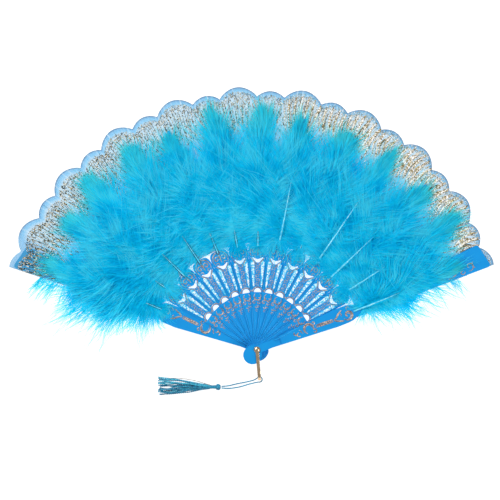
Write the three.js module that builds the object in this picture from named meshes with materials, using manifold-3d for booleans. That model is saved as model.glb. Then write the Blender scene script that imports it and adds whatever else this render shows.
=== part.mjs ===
// A folding feather fan, spread open and lying on its back.
//
// Thirteen plastic sticks turn on one rivet. The back guard is the lowest and points left, the front
// guard is the highest and points right, and each stick between them lies one level above its left
// neighbour. A scalloped cloth leaf is glued under the ribs, a marabou feather lies on every stick, and
// a tassel hangs from the bail, a gold strap bent to a U round the sticks' tails.
//
// Units are millimetres and degrees. +Z points out of the front of the fan and +Y along the middle
// stick. The origin is on the rivet's axis, on the surface that the fan lies on.

import * as THREE from "three";
import { mergeVertices } from "three/addons/utils/BufferGeometryUtils.js";
import Module from "manifold-3d";

const wasm = await Module();
wasm.setup();

// The spread of the sticks
const innerStickCount = 11;
const stickPitchAngle = 11.31;
const frontGuardPlace = innerStickCount + 1;
const halfSpreadAngle = (stickPitchAngle * frontGuardPlace) / 2;

// Thicknesses and running clearances of the stack
const stickThickness = 0.95;
const guardThickness = 2.2;
const runningGap = 0.15;
const ribThickness = 0.45;
const leafThickness = 0.3;
const glueGap = 0.05;
const featherGap = 0.1;

// Rivet and its cap
const rivetRadius = 1.3;
const rivetHeadRadius = 2.3;
const rivetHeadHeight = 1.1;
const rivetHeadShares = [[1, 0], [1, 0.25], [0.86, 0.65], [0.5, 0.93], [0, 1]];
const rivetCapRadius = 2.4;
const rivetCapThickness = 0.35;
const rivetClearance = 0.15;
const rivetSides = 20;

// Bail: a strap bent to a U, with an eye at each end
const bailLength = 27.0;
const bailThickness = 0.8;
const bailWidth = 2.8;
const bailEyeRadius = 2.7;
const bailLean = 5.3;
const bailGap = 0.25;
const bailSeatGap = 0.05;
const bailBendSteps = 20;
const cutOverrun = 2.0;

// Tail and gorge, which every stick has. The front guard's tail is a larger disc that hangs to one side
const tailRadius = 6.6;
const tailReach = 3.9;
const frontTailRadius = 8.1;
const frontTailReach = 5.4;
const frontTailShift = 2.9;
const neckHalfWidth = 3.4;
const neckEnd = 14.0;
const gorgeHalfWidth = 7.5;
const gorgeEnd = 73.0;
const tailSteps = 16;

// Inner stick: scroll head, rib and piercings
const headHalfWidth = 8.3;
const headHalfHeight = 7.9;
const headRoundness = 2 / 3.2;
const headCentre = 84.5;
const headSteps = 24;
const headWaistShare = 0.905;
const ribHalfWidth = 1.3;
const ribEnd = 205.0;
const moonHoleCentre = 51.6;
const moonHoleHalfWidth = 3.15;
const moonHoleHeight = 3.6;
const moonHoleSteps = 6;
const boomerangCentre = 77.9;
const boomerangHalfWidth = 4.7;
const boomerangHeight = 4.7;
const boomerangWingShares = [[0.25, 0.03], [1, 0.84], [0.92, 1], [0.45, 0.74]];
const boomerangInnerShare = 0.6;

// Guard: shoulder and blade. Shares are of the gorge's half width, and of the way up the shoulder
const shoulderStart = 83.0;
const shoulderEnd = 91.5;
const shoulderShares = [[1, 0], [0.93, 0.5], [0.78, 0.85]];
const bladeRootHalfWidth = 5.2;
const bladeTipHalfWidth = 10.7;
const bladeEnd = 215.0;
const bladeEndSlant = 3.5;
const bladeCorner = 2.2;
const bladeCornerShare = 0.3;
const guardThickStart = 22.0;
const backGorgeFlare = 2.6;

// The tips of both blades lie a little to the left of their axes, and the back one is longer
const frontBladeShift = -3.3;
const backBladeShift = -5.2;
const backBladeExtra = 8.5;

// Leaf, which starts just past the scroll heads and shoulders
const leafHeadGap = 0.8;
const leafInnerRadius = Math.max(headCentre + headHalfHeight, shoulderEnd) + leafHeadGap;
const cuspRadius = 219.5;
const wideLobeHeight = 9.0;
const narrowLobeHeight = 5.2;
const lobePairAngle = 14.75;
const wideLobeAngle = 8.5;
const firstLobeAngle = -68.0;
const leftFlapAngle = 4.3;
const rightFlapAngle = 1.9;
const leafFallAtRight = 9.5;
const leafRiseAtLeft = 2.6;
const lobeFullnessShare = 0.75;
const leafSteps = 16;

// Feathers on the sticks
const featherStart = 95.0;
const featherEnd = 203.0;
const featherHeight = 7.0;
const featherEdgeHeight = 0.8;
const featherHalfAngle = 5.35;
const featherHalfWidth = 14.0;
const featherSideGap = 0.65;

// Feathers outside the guards
const fringeStart = 97.0;
const fringeEnd = 196.0;
const fringeWidth = 16.0;
const fringeThickness = 4.5;
const fringeEdgeGap = 0.5;
const fringeGroundGap = 0.3;
const fringeFootHeight = 1.2;

// Tassel, laid out to the left of the bail
const cordDiameter = 0.95;
const cordSides = 8;
const cordSteps = 34;
const knotStart = [-30.9, -33.3];
const knotRadius = 2.9;
const knotLength = 5.2;
const knotShares = [[0, 0], [0.5, 0.06], [0.86, 0.24], [1, 0.48], [0.88, 0.72]];
const neckStartShare = 0.88;
const neckEndShare = 0.8;
const neckFlareShare = 0.9;
const neckRadius = 1.75;
const neckLength = 5.3;
const skirtGap = 0.3;
const skirtLength = 44.8;
const skirtRootRadius = 2.1;
const skirtHalfWidth = 8.05;
const skirtHalfHeight = 3.2;
const skirtSides = 12;
const skirtTurn = 0.6;

// The route of the tassel's cord, from the knot round the bail's bend and back. It stays as chosen
const cordRoute = [
  [-30.5, -32.65, 2.7],
  [-29.2, -32.6, 2.5],
  [-24.2, -32.1, 1.3],
  [-17.6, -30.5, 0.8],
  [-8.8, -28.6, 2.2],
  [-3.0, -27.0, 4.6],
  [-0.4, -25.6, 5.7],
  [1.2, -24.25, 6.0],
  [2.7, -23.95, 6.0],
  [4.1, -24.6, 6.0],
  [4.75, -26.2, 6.0],
  [4.1, -27.8, 6.0],
  [2.6, -28.5, 6.0],
  [0.8, -28.6, 5.6],
  [-6.0, -30.4, 2.4],
  [-15.4, -33.2, 0.8],
  [-24.2, -34.5, 1.3],
  [-29.2, -34.2, 2.5],
  [-30.5, -34.15, 2.7],
];

// Levels that follow from the sizes above
const levelPitch = stickThickness + runningGap;
const headRecess = rivetCapThickness + bailSeatGap + bailThickness + bailGap;
const guardHeadThickness = guardThickness - headRecess;
const ribBottom = stickThickness - ribThickness;
const leafBottom = ribBottom - glueGap - leafThickness;
const leafTop = leafBottom + leafThickness;
const boreRadius = rivetRadius + rivetClearance;

// Height of the underside of the stick in place k, counted from the back guard
function stickLevel(k) {
  return k === 0 ? 0 : guardThickness + runningGap + (k - 1) * levelPitch;
}

// Angle of the stick in place k, clockwise from +Y
function stickAngle(k) {
  return k * stickPitchAngle - halfSpreadAngle;
}

const frontGuardLevel = stickLevel(frontGuardPlace);
const backLegMiddle = rivetCapThickness + bailSeatGap + bailThickness / 2;
const frontLegMiddle = frontGuardLevel + guardHeadThickness + bailGap + bailThickness / 2;
const rivetTop = frontLegMiddle + bailThickness / 2 + bailSeatGap;

const radians = THREE.MathUtils.degToRad;

// Finishes
function finish(color, roughness, metalness) {
  return new THREE.MeshStandardMaterial({ color, roughness, metalness });
}

const azurePlastic = finish(0x0e96e6, 0.38, 0);
const paleCloth = finish(0xa5d7f5, 0.7, 0);
const dyedFeather = finish(0x14b4e1, 0.9, 0);
const goldPlate = finish(0xd9a56c, 0.28, 1);
const tealYarn = finish(0x2389ae, 0.75, 0);

// Solid tools
function toSolid(geometry) {
  const plain = geometry.index ? geometry.toNonIndexed() : geometry.clone();
  plain.deleteAttribute("normal");
  plain.deleteAttribute("uv");
  const merged = mergeVertices(plain);
  const vertProperties = new Float32Array(merged.attributes.position.array);
  const triVerts = new Uint32Array(merged.index.array);
  return new wasm.Manifold(new wasm.Mesh({ numProp: 3, vertProperties, triVerts }));
}

function toGeometry(solid) {
  const mesh = solid.getMesh();
  const geometry = new THREE.BufferGeometry();
  geometry.setAttribute("position", new THREE.BufferAttribute(mesh.vertProperties, 3));
  geometry.setIndex(new THREE.BufferAttribute(mesh.triVerts, 1));
  return geometry;
}

// A flat plate with the outline of a shape, from one height to another
function plate(shape, bottom, top) {
  const geometry = new THREE.ExtrudeGeometry(shape, { depth: top - bottom, bevelEnabled: false });
  return geometry.translate(0, 0, bottom);
}

function joined(...geometries) {
  const solids = geometries.map(toSolid);
  return toGeometry(solids.reduce((whole, piece) => whole.add(piece)));
}

// A closed slab between an upper and a lower grid of points, rows by columns
function slab(upper, lower) {
  const rows = upper.length;
  const columns = upper[0].length;
  const positions = [...upper.flat(), ...lower.flat()].flat();
  const top = (i, j) => i * columns + j;
  const under = (i, j) => rows * columns + top(i, j);
  const faces = [];
  const quad = (a, b, c, d) => faces.push(a, b, c, a, c, d);
  for (let i = 0; i + 1 < rows; i++) {
    for (let j = 0; j + 1 < columns; j++) {
      quad(top(i, j), top(i, j + 1), top(i + 1, j + 1), top(i + 1, j));
      quad(under(i, j), under(i + 1, j), under(i + 1, j + 1), under(i, j + 1));
    }
    quad(top(i + 1, 0), under(i + 1, 0), under(i, 0), top(i, 0));
    quad(top(i, columns - 1), under(i, columns - 1), under(i + 1, columns - 1), top(i + 1, columns - 1));
  }
  for (let j = 0; j + 1 < columns; j++) {
    quad(top(0, j), under(0, j), under(0, j + 1), top(0, j + 1));
    quad(top(rows - 1, j + 1), under(rows - 1, j + 1), under(rows - 1, j), top(rows - 1, j));
  }
  return indexed(positions, faces);
}

// A closed skin over rings of points, each ring convex
function loft(rings) {
  const sides = rings[0].length;
  const faces = [];
  for (let i = 0; i + 1 < rings.length; i++) {
    for (let j = 0; j < sides; j++) {
      const next = (j + 1) % sides;
      const a = i * sides + j;
      const b = i * sides + next;
      faces.push(a, b, b + sides, a, b + sides, a + sides);
    }
  }
  const last = (rings.length - 1) * sides;
  for (let j = 1; j + 1 < sides; j++) {
    faces.push(0, j + 1, j);
    faces.push(last, last + j, last + j + 1);
  }
  return indexed(rings.flat().flat(), faces);
}

function indexed(positions, faces) {
  const geometry = new THREE.BufferGeometry();
  geometry.setAttribute("position", new THREE.Float32BufferAttribute(positions, 3));
  geometry.setIndex(faces);
  return geometry;
}

// Value at x of a line through points of a table of [x, y] pairs
function alongTable(table, x) {
  for (let i = 0; i + 1 < table.length; i++) {
    const [x0, y0] = table[i];
    const [x1, y1] = table[i + 1];
    if (x <= x1) {
      return y0 + ((y1 - y0) * (x - x0)) / (x1 - x0);
    }
  }
  return table[table.length - 1][1];
}

const smallTail = { radius: tailRadius, reach: tailReach, shift: 0 };
const frontTail = { radius: frontTailRadius, reach: frontTailReach, shift: frontTailShift };

// Outline of a round tail, clockwise from the right side of the neck to its left side
function addTail(shape, { radius, reach, shift }) {
  const startAngle = Math.acos((neckHalfWidth - shift) / radius);
  const endAngle = Math.acos((-neckHalfWidth - shift) / radius) - 2 * Math.PI;
  for (let i = 0; i <= tailSteps; i++) {
    const angle = startAngle + ((endAngle - startAngle) * i) / tailSteps;
    shape.lineTo(shift + radius * Math.cos(angle), radius * Math.sin(angle) - reach);
  }
}

function bore() {
  const hole = new THREE.Path();
  hole.absarc(0, 0, boreRadius, 0, 2 * Math.PI);
  return hole;
}

// A half moon with its flat side towards the pivot
function moonHole() {
  const flat = moonHoleCentre - moonHoleHeight / 2;
  const hole = new THREE.Path();
  for (let i = 0; i <= moonHoleSteps; i++) {
    const angle = (Math.PI * i) / moonHoleSteps;
    const x = moonHoleHalfWidth * Math.cos(angle);
    const y = flat + moonHoleHeight * Math.sin(angle);
    i === 0 ? hole.moveTo(x, y) : hole.lineTo(x, y);
  }
  return hole;
}

// A boomerang that opens towards the scroll head
function boomerangHole() {
  const tip = boomerangCentre - boomerangHeight / 2;
  const wings = [1, -1];
  const hole = new THREE.Path();
  hole.moveTo(0, tip);
  for (const wing of wings) {
    const corners = wing > 0 ? boomerangWingShares : [...boomerangWingShares].reverse();
    for (const [across, up] of corners) {
      hole.lineTo(wing * across * boomerangHalfWidth, tip + up * boomerangHeight);
    }
    if (wing > 0) {
      hole.lineTo(0, tip + boomerangInnerShare * boomerangHeight);
    }
  }
  return hole;
}

// Tail, gorge and scroll head of an inner stick. The head is a squared oval
function innerStickShape() {
  const shape = new THREE.Shape();
  const headStart = -Math.acos(headWaistShare);
  const sweep = Math.PI - 2 * headStart;
  const squared = (share) => Math.sign(share) * Math.abs(share) ** headRoundness;
  shape.moveTo(-gorgeHalfWidth, gorgeEnd);
  for (let i = 0; i <= headSteps; i++) {
    const angle = Math.PI - headStart - (sweep * i) / headSteps;
    const x = headHalfWidth * squared(Math.cos(angle));
    shape.lineTo(x, headCentre + headHalfHeight * squared(Math.sin(angle)));
  }
  shape.lineTo(gorgeHalfWidth, gorgeEnd);
  shape.lineTo(neckHalfWidth, neckEnd);
  addTail(shape, smallTail);
  shape.lineTo(-neckHalfWidth, neckEnd);
  shape.holes.push(bore(), moonHole(), boomerangHole());
  return shape;
}

// A strip with a round end
function ribShape() {
  const shape = new THREE.Shape();
  shape.moveTo(-ribHalfWidth, headCentre + headHalfHeight / 2);
  shape.lineTo(ribHalfWidth, headCentre + headHalfHeight / 2);
  shape.lineTo(ribHalfWidth, ribEnd - ribHalfWidth);
  shape.lineTo(ribHalfWidth / 2, ribEnd);
  shape.lineTo(-ribHalfWidth / 2, ribEnd);
  shape.lineTo(-ribHalfWidth, ribEnd - ribHalfWidth);
  return shape;
}

function innerStick() {
  const gorge = plate(innerStickShape(), 0, stickThickness);
  const rib = plate(ribShape(), ribBottom, stickThickness);
  return joined(gorge, rib);
}

// Half width of a gorge. A flare adds to it, as the back guard has on its outer side
function gorgeWidthAt(y, flare = 0) {
  return alongTable([[neckEnd, neckHalfWidth], [gorgeEnd, gorgeHalfWidth + flare]], y);
}

// The thin end of a guard, which turns on the rivet
function guardHeadShape(tail, flare) {
  const shape = new THREE.Shape();
  shape.moveTo(-gorgeWidthAt(guardThickStart, flare), guardThickStart);
  shape.lineTo(gorgeWidthAt(guardThickStart), guardThickStart);
  shape.lineTo(neckHalfWidth, neckEnd);
  addTail(shape, tail);
  shape.lineTo(-neckHalfWidth, neckEnd);
  shape.holes.push(bore());
  return shape;
}

// One side of a guard's gorge up to its rounded shoulder
function gorgeSide(flare) {
  return [
    [gorgeWidthAt(guardThickStart, flare), guardThickStart],
    [gorgeHalfWidth + flare, gorgeEnd],
    ...shoulderShares.map(([across, up]) => [
      across * (gorgeHalfWidth + flare),
      shoulderStart + up * (shoulderEnd - shoulderStart),
    ]),
    [bladeRootHalfWidth, shoulderEnd],
  ];
}

function guardGorgeShape(flare) {
  return twoSidedShape(gorgeSide(0), gorgeSide(flare));
}

// A blade whose end slants, so that it is longest at the fan's outer edge. That edge is at +x where outer
// is 1, and at -x where it is -1
function guardBladeShape(outer, extra, shift) {
  const side = (across) => {
    const end = bladeEnd + extra - (across === outer ? 0 : bladeEndSlant);
    const tip = bladeTipHalfWidth + across * shift;
    return [
      [bladeRootHalfWidth, shoulderEnd - bladeRootHalfWidth],
      [bladeRootHalfWidth, shoulderEnd],
      [tip, end - bladeCorner],
      [tip - bladeCorner * bladeCornerShare, end - bladeCorner * bladeCornerShare],
      [tip - bladeCorner, end],
    ];
  };
  return twoSidedShape(side(1), side(-1));
}

// An outline from the points of its right side, and those of its left side as if mirrored
function twoSidedShape(right, left) {
  const other = left.map(([x, y]) => [-x, y]).reverse();
  return new THREE.Shape([...right, ...other].map(([x, y]) => new THREE.Vector2(x, y)));
}

// The back guard's thin end is cut from below, so that the bail's leg and the cap fit under it
function backGuard() {
  const head = plate(guardHeadShape(smallTail, backGorgeFlare), headRecess, guardThickness);
  const gorge = plate(guardGorgeShape(backGorgeFlare), 0, guardThickness);
  const blade = plate(guardBladeShape(-1, backBladeExtra, backBladeShift), 0, guardThickness);
  return joined(head, gorge, blade);
}

// The front guard's thin end is cut from above, and its blade leaves room for the leaf under it
function frontGuard() {
  const head = plate(guardHeadShape(frontTail, 0), 0, guardHeadThickness);
  const gorge = plate(guardGorgeShape(0), 0, guardThickness);
  const blade = plate(guardBladeShape(1, 0, frontBladeShift), ribBottom, guardThickness);
  return joined(head, gorge, blade);
}

// Radius of the scalloped edge at an angle, with wide and narrow lobes in turn
function leafRadius(angle) {
  const place = angle - firstLobeAngle;
  const inPair = place - Math.floor(place / lobePairAngle) * lobePairAngle;
  const wide = inPair < wideLobeAngle;
  const share = wide ? inPair / wideLobeAngle : (inPair - wideLobeAngle) / (lobePairAngle - wideLobeAngle);
  const height = wide ? wideLobeHeight : narrowLobeHeight;
  const fall = leafFallAtRight * (Math.max(angle, 0) / halfSpreadAngle) ** 3;
  const rise = leafRiseAtLeft * (Math.max(-angle, 0) / halfSpreadAngle) ** 4;
  return cuspRadius - fall + rise + height * Math.sin(Math.PI * share) ** lobeFullnessShare;
}

// The cloth from stick k - 1 to stick k, in the frame of stick k
function leafPanel(k) {
  const left = stickAngle(k - 1) - (k === 1 ? leftFlapAngle : 0);
  const right = stickAngle(k) + (k === frontGuardPlace ? rightFlapAngle : 0);
  const upper = [[], []];
  const lower = [[], []];
  for (let j = 0; j <= leafSteps; j++) {
    const angle = left + ((right - left) * j) / leafSteps;
    const turn = radians(angle - stickAngle(k));
    [leafInnerRadius, leafRadius(angle)].forEach((radius, i) => {
      const x = radius * Math.sin(turn);
      const y = radius * Math.cos(turn);
      upper[i].push([x, y, leafTop]);
      lower[i].push([x, y, leafBottom]);
    });
  }
  return slab(upper, lower);
}

// Half width and height of a feather along its length, as shares of its largest
const featherWidthShares = [
  [0, 0.2],
  [0.08, 0.5],
  [0.22, 0.75],
  [0.45, 0.95],
  [0.65, 1],
  [0.8, 0.86],
  [0.92, 0.5],
  [1, 0.12],
];
const featherHeightShares = [
  [0, 0.3],
  [0.22, 0.7],
  [0.5, 1],
  [0.75, 0.85],
  [1, 0.3],
];
const featherCrossShares = [-1, -0.66, -0.33, 0, 0.33, 0.66, 1];

// A plume over its stick, flat below and domed above
function feather() {
  const upper = [];
  const lower = [];
  for (const [share, width] of featherWidthShares) {
    const y = featherStart + share * (featherEnd - featherStart);
    const widest = y * Math.tan(radians(featherHalfAngle)) - featherSideGap;
    const halfWidth = Math.min(width * featherHalfWidth, widest);
    const height = featherHeight * alongTable(featherHeightShares, share);
    const rowUp = featherCrossShares.map((side) => [
      side * halfWidth,
      y,
      featherEdgeHeight + (height - featherEdgeHeight) * Math.sqrt(1 - side * side),
    ]);
    upper.push(rowUp);
    lower.push(rowUp.map(([x, yThere]) => [x, yThere, 0]));
  }
  return slab(upper, lower);
}

// Reach of a fringe feather beyond its guard, along its length
const fringeReachShares = [
  [0, 0.25],
  [0.12, 0.6],
  [0.3, 0.9],
  [0.5, 1],
  [0.7, 0.85],
  [0.85, 0.55],
  [1, 0.2],
];

// The plume outside a guard. Side is -1 left of the back guard and 1 right of the front guard, and
// heights gives the lower and the upper face across it, from the guard outwards
function fringe(side, heights) {
  const upper = [];
  const lower = [];
  const [extra, shift] = side < 0 ? [backBladeExtra, backBladeShift] : [0, frontBladeShift];
  const tip = [bladeEnd + extra - bladeCorner, bladeTipHalfWidth + side * shift];
  const bladeShares = [[shoulderEnd, bladeRootHalfWidth], tip];
  for (const [share, reach] of fringeReachShares) {
    const y = fringeStart + share * (fringeEnd - fringeStart);
    const inner = alongTable(bladeShares, y) + fringeEdgeGap;
    const rows = heights.map(([across, low, high]) => {
      const x = inner + across * reach * fringeWidth;
      return [[side * x, y, low], [side * x, y, high]];
    });
    const ordered = side > 0 ? rows : rows.reverse();
    lower.push(ordered.map((pair) => pair[0]));
    upper.push(ordered.map((pair) => pair[1]));
  }
  return slab(upper, lower);
}

// Stations across the left fringe, as shares of its reach
const leftFringeShares = [0, 0.45, 0.8];

// Stations across the right fringe, as shares of its reach, with its lower and upper face as shares
// of their heights at the guard
const rightFringeShares = [
  [0, 1, 1],
  [0.35, 0.72, 0.84],
  [0.7, 0.3, 0.5],
  [0.88, 0, 0.22],
];

// The left fringe lies low, so that the edge of the leaf clears it
function leftFringe() {
  const underLeaf = stickLevel(1) + leafBottom - featherGap;
  const rows = leftFringeShares.map((across) => [across, fringeGroundGap, underLeaf]);
  return fringe(-1, [...rows, [1, fringeGroundGap, fringeGroundGap + fringeFootHeight]]);
}

// The right fringe falls from the front guard to the surface and holds that side up
function rightFringe() {
  const top = frontGuardLevel + guardThickness - featherGap;
  const bottom = top - fringeThickness;
  const rows = rightFringeShares.map(([across, low, high]) => [across, low * bottom, high * top]);
  return fringe(1, [...rows, [1, 0, fringeFootHeight]]);
}

// Underside of the feather on stick k
function featherLevel(k) {
  if (k === frontGuardPlace) {
    return frontGuardLevel + guardThickness + featherGap;
  }
  return stickLevel(k + 1) + leafTop + featherGap;
}

function lathe(profile, sides) {
  const points = profile.map(([radius, height]) => new THREE.Vector2(radius, height));
  return new THREE.LatheGeometry(points, sides);
}

function rivet() {
  const profile = [
    [0, rivetCapThickness + bailSeatGap],
    [rivetRadius, rivetCapThickness + bailSeatGap],
    [rivetRadius, rivetTop],
    ...rivetHeadShares.map(([across, up]) => [across * rivetHeadRadius, rivetTop + up * rivetHeadHeight]),
  ];
  return lathe(profile, rivetSides).rotateX(Math.PI / 2);
}

function rivetCap() {
  const profile = [
    [0, 0],
    [rivetCapRadius, 0],
    [rivetCapRadius, rivetCapThickness],
    [0, rivetCapThickness],
  ];
  return lathe(profile, rivetSides).rotateX(Math.PI / 2);
}

// The U lies in a plane through the rivet's axis. Its outline is drawn with x for height and y along it
function bail() {
  const bendRadius = (frontLegMiddle - backLegMiddle) / 2;
  const bendHeight = (frontLegMiddle + backLegMiddle) / 2;
  const bendCentre = bendRadius + bailThickness / 2 - bailLength;
  const outer = [];
  const inner = [];
  for (let i = 0; i <= bailBendSteps; i++) {
    const angle = (Math.PI * i) / bailBendSteps;
    const cos = Math.cos(angle);
    const sin = Math.sin(angle);
    const far = bendRadius + bailThickness / 2;
    const near = bendRadius - bailThickness / 2;
    outer.push([bendHeight + far * cos, bendCentre - far * sin]);
    inner.push([bendHeight + near * cos, bendCentre - near * sin]);
  }
  outer.unshift([outer[0][0], 0]);
  outer.push([outer[outer.length - 1][0], 0]);
  inner.unshift([inner[0][0], 0]);
  inner.push([inner[inner.length - 1][0], 0]);
  const outline = [...outer, ...inner.reverse()].map(([x, y]) => new THREE.Vector2(x, y));
  const settings = { depth: bailWidth, bevelEnabled: false };
  const strap = new THREE.ExtrudeGeometry(new THREE.Shape(outline), settings);
  strap.translate(0, 0, -bailWidth / 2).rotateY(-Math.PI / 2);
  const eyeShape = new THREE.Shape();
  eyeShape.absarc(0, 0, bailEyeRadius, 0, 2 * Math.PI);
  const holeShape = new THREE.Shape();
  holeShape.absarc(0, 0, boreRadius, 0, 2 * Math.PI);
  const legs = [backLegMiddle, frontLegMiddle];
  let solid = toSolid(strap);
  for (const middle of legs) {
    solid = solid.add(toSolid(plate(eyeShape, middle - bailThickness / 2, middle + bailThickness / 2)));
  }
  return toGeometry(solid.subtract(toSolid(plate(holeShape, -cutOverrun, rivetTop + cutOverrun))));
}

function tasselCord() {
  const points = cordRoute.map(([x, y, z]) => new THREE.Vector3(x, y, z));
  const path = new THREE.CatmullRomCurve3(points);
  const section = new THREE.Shape();
  for (let i = 0; i < cordSides; i++) {
    const angle = (2 * Math.PI * i) / cordSides;
    const x = (cordDiameter / 2) * Math.cos(angle);
    const y = (cordDiameter / 2) * Math.sin(angle);
    i === 0 ? section.moveTo(x, y) : section.lineTo(x, y);
  }
  return new THREE.ExtrudeGeometry(section, { steps: cordSteps, extrudePath: path, bevelEnabled: false });
}

// The knot and its bound neck, turned about the tassel's own axis
function tasselKnot() {
  const neckStart = knotLength * neckStartShare;
  const profile = [
    ...knotShares.map(([across, along]) => [across * knotRadius, along * knotLength]),
    [neckRadius, neckStart],
    [neckRadius, neckStart + neckLength * neckEndShare],
    [skirtRootRadius * neckFlareShare, neckStart + neckLength],
    [0, neckStart + neckLength],
  ];
  return lathe(profile, rivetSides).rotateZ(Math.PI / 2);
}

// The bunch of threads, which spreads as it lies on the surface
function tasselSkirt() {
  const rootDistance = knotLength * neckStartShare + neckLength + skirtGap;
  const spreadShares = [
    [0, 0],
    [0.2, 0.18],
    [0.45, 0.45],
    [0.75, 0.8],
    [1, 1],
  ];
  const rings = spreadShares.map(([share, spread]) => {
    const halfWidth = skirtRootRadius + (skirtHalfWidth - skirtRootRadius) * spread;
    const halfHeight = skirtRootRadius + (skirtHalfHeight - skirtRootRadius) * spread;
    const middle = knotRadius + (skirtHalfHeight - knotRadius) * spread;
    const x = -(rootDistance + skirtLength * share);
    const ring = [];
    for (let i = 0; i < skirtSides; i++) {
      const angle = (-2 * Math.PI * i) / skirtSides;
      ring.push([x, halfWidth * Math.cos(angle), middle - knotRadius + halfHeight * Math.sin(angle)]);
    }
    return ring;
  });
  return loft(rings);
}

// The whole fan
const fan = new THREE.Group();

function place(parent, name, geometry, material, height) {
  const mesh = new THREE.Mesh(geometry, material);
  mesh.name = name;
  mesh.position.z = height;
  parent.add(mesh);
}

function twoDigits(k) {
  return String(k).padStart(2, "0");
}

for (let k = 0; k <= frontGuardPlace; k++) {
  const stick = new THREE.Group();
  stick.rotation.z = -radians(stickAngle(k));
  fan.add(stick);
  if (k === 0) {
    place(stick, "back_guard", backGuard(), azurePlastic, 0);
    place(stick, "feather_back_guard", feather(), dyedFeather, featherLevel(k));
    place(stick, "fringe_left", leftFringe(), dyedFeather, 0);
  } else if (k < frontGuardPlace) {
    place(stick, `stick_${twoDigits(k)}`, innerStick(), azurePlastic, stickLevel(k));
    place(stick, `feather_${twoDigits(k)}`, feather(), dyedFeather, featherLevel(k));
  } else {
    place(stick, "front_guard", frontGuard(), azurePlastic, stickLevel(k));
    place(stick, "feather_front_guard", feather(), dyedFeather, featherLevel(k));
    place(stick, "fringe_right", rightFringe(), dyedFeather, 0);
  }
  if (k > 0) {
    place(stick, `leaf_panel_${twoDigits(k)}`, leafPanel(k), paleCloth, stickLevel(k));
  }
}

place(fan, "rivet", rivet(), goldPlate, 0);
place(fan, "rivet_cap", rivetCap(), goldPlate, 0);

const bailGroup = new THREE.Group();
bailGroup.rotation.z = radians(bailLean);
fan.add(bailGroup);
place(bailGroup, "bail", bail(), goldPlate, 0);

place(fan, "tassel_cord", tasselCord(), tealYarn, 0);
const tassel = new THREE.Group();
tassel.position.set(knotStart[0], knotStart[1], knotRadius);
tassel.rotation.z = -radians(skirtTurn);
fan.add(tassel);
place(tassel, "tassel_knot", tasselKnot(), tealYarn, 0);
place(tassel, "tassel_skirt", tasselSkirt(), tealYarn, 0);

export default fan;
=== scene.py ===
"""A folding feather fan, spread open on a white table top, seen from straight above.

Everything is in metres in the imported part's frame: +Z up out of the front of the fan, +Y along the middle
stick, and the origin on the rivet's axis at the table. Sizes in the functions below are in millimetres and
are drawn in a stick's own frame, with x across the stick, y along it from the rivet, and z above its
underside. Angles are in degrees where nothing else is said.
"""

import math
import random

import bmesh
import bpy
from mathutils import Matrix, Vector


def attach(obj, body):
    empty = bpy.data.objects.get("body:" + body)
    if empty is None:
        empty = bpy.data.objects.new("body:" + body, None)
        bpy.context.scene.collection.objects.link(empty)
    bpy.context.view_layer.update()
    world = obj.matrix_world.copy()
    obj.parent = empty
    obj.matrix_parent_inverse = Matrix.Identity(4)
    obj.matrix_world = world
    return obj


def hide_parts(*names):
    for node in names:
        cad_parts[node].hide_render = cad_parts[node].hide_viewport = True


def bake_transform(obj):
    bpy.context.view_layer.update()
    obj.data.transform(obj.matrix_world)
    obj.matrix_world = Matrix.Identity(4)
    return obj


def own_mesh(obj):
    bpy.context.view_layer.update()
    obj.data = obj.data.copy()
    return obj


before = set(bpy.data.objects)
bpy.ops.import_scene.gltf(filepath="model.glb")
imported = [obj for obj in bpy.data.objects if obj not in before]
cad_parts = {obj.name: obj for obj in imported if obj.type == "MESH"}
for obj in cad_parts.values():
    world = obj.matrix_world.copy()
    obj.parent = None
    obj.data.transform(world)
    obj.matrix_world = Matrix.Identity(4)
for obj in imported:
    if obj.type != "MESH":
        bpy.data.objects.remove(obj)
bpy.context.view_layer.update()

MM = 0.001

# The spread of the sticks. Place 0 is the back guard, on the left, and the last is the front guard
LAST_PLACE = 12
STICK_PITCH = 11.31

# Half the room across an inner stick, as a share of the distance from the rivet
HALF_ROOM = math.tan(math.radians(STICK_PITCH / 2))

# The height of the first inner stick's underside and the step to the next one's, and how thick the plastic
# of a stick and of a guard is
FIRST_LEVEL = 2.35
LEVEL_PITCH = 1.1
STICK_TOP = 0.95
GUARD_TOP = 2.2

# Where a guard's blade starts, and half its width there
BLADE_ROOT = (91.5, 5.2)

# The leaf starts here, and lies this high above the underside of a stick and of the back guard
LEAF_START = 92.6
LEAF_TOP = 0.45
BACK_LEAF_TOP = 2.62


def turn_of(k):
    """Angle of the stick in place k, clockwise from +Y, in degrees."""
    return STICK_PITCH * (k - LAST_PLACE / 2)


def level_of(k):
    """Height of the underside of the stick in place k."""
    return 0.0 if k == 0 else FIRST_LEVEL + LEVEL_PITCH * (k - 1)


def stick_name(k):
    return {0: "back_guard", LAST_PLACE: "front_guard"}.get(k, f"stick_{k:02d}")


def stick_place(k, x=0.0, y=0.0, z=0.0):
    """The matrix that puts a mesh drawn in metres in the frame of stick k, moved by millimetres."""
    turn = Matrix.Rotation(-math.radians(turn_of(k)), 4, "Z")
    return turn @ Matrix.Translation(Vector((x, y, z + level_of(k))) * MM)


# Tools


def srgb(code):
    """A hex colour as the linear values that a shader reads."""
    shares = [int(code[i : i + 2], 16) / 255 for i in (1, 3, 5)]
    return [s / 12.92 if s <= 0.04045 else ((s + 0.055) / 1.055) ** 2.4 for s in shares] + [1.0]


def add(tree, kind, inputs=None, **settings):
    """Adds a node with its settings. An input that is another node's socket is linked, and others are set."""
    made = tree.nodes.new(kind)
    for name, value in settings.items():
        setattr(made, name, value)
    for name, value in (inputs or {}).items():
        if isinstance(value, bpy.types.NodeSocket):
            tree.links.new(value, made.inputs[name])
        else:
            made.inputs[name].default_value = value
    return made


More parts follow.
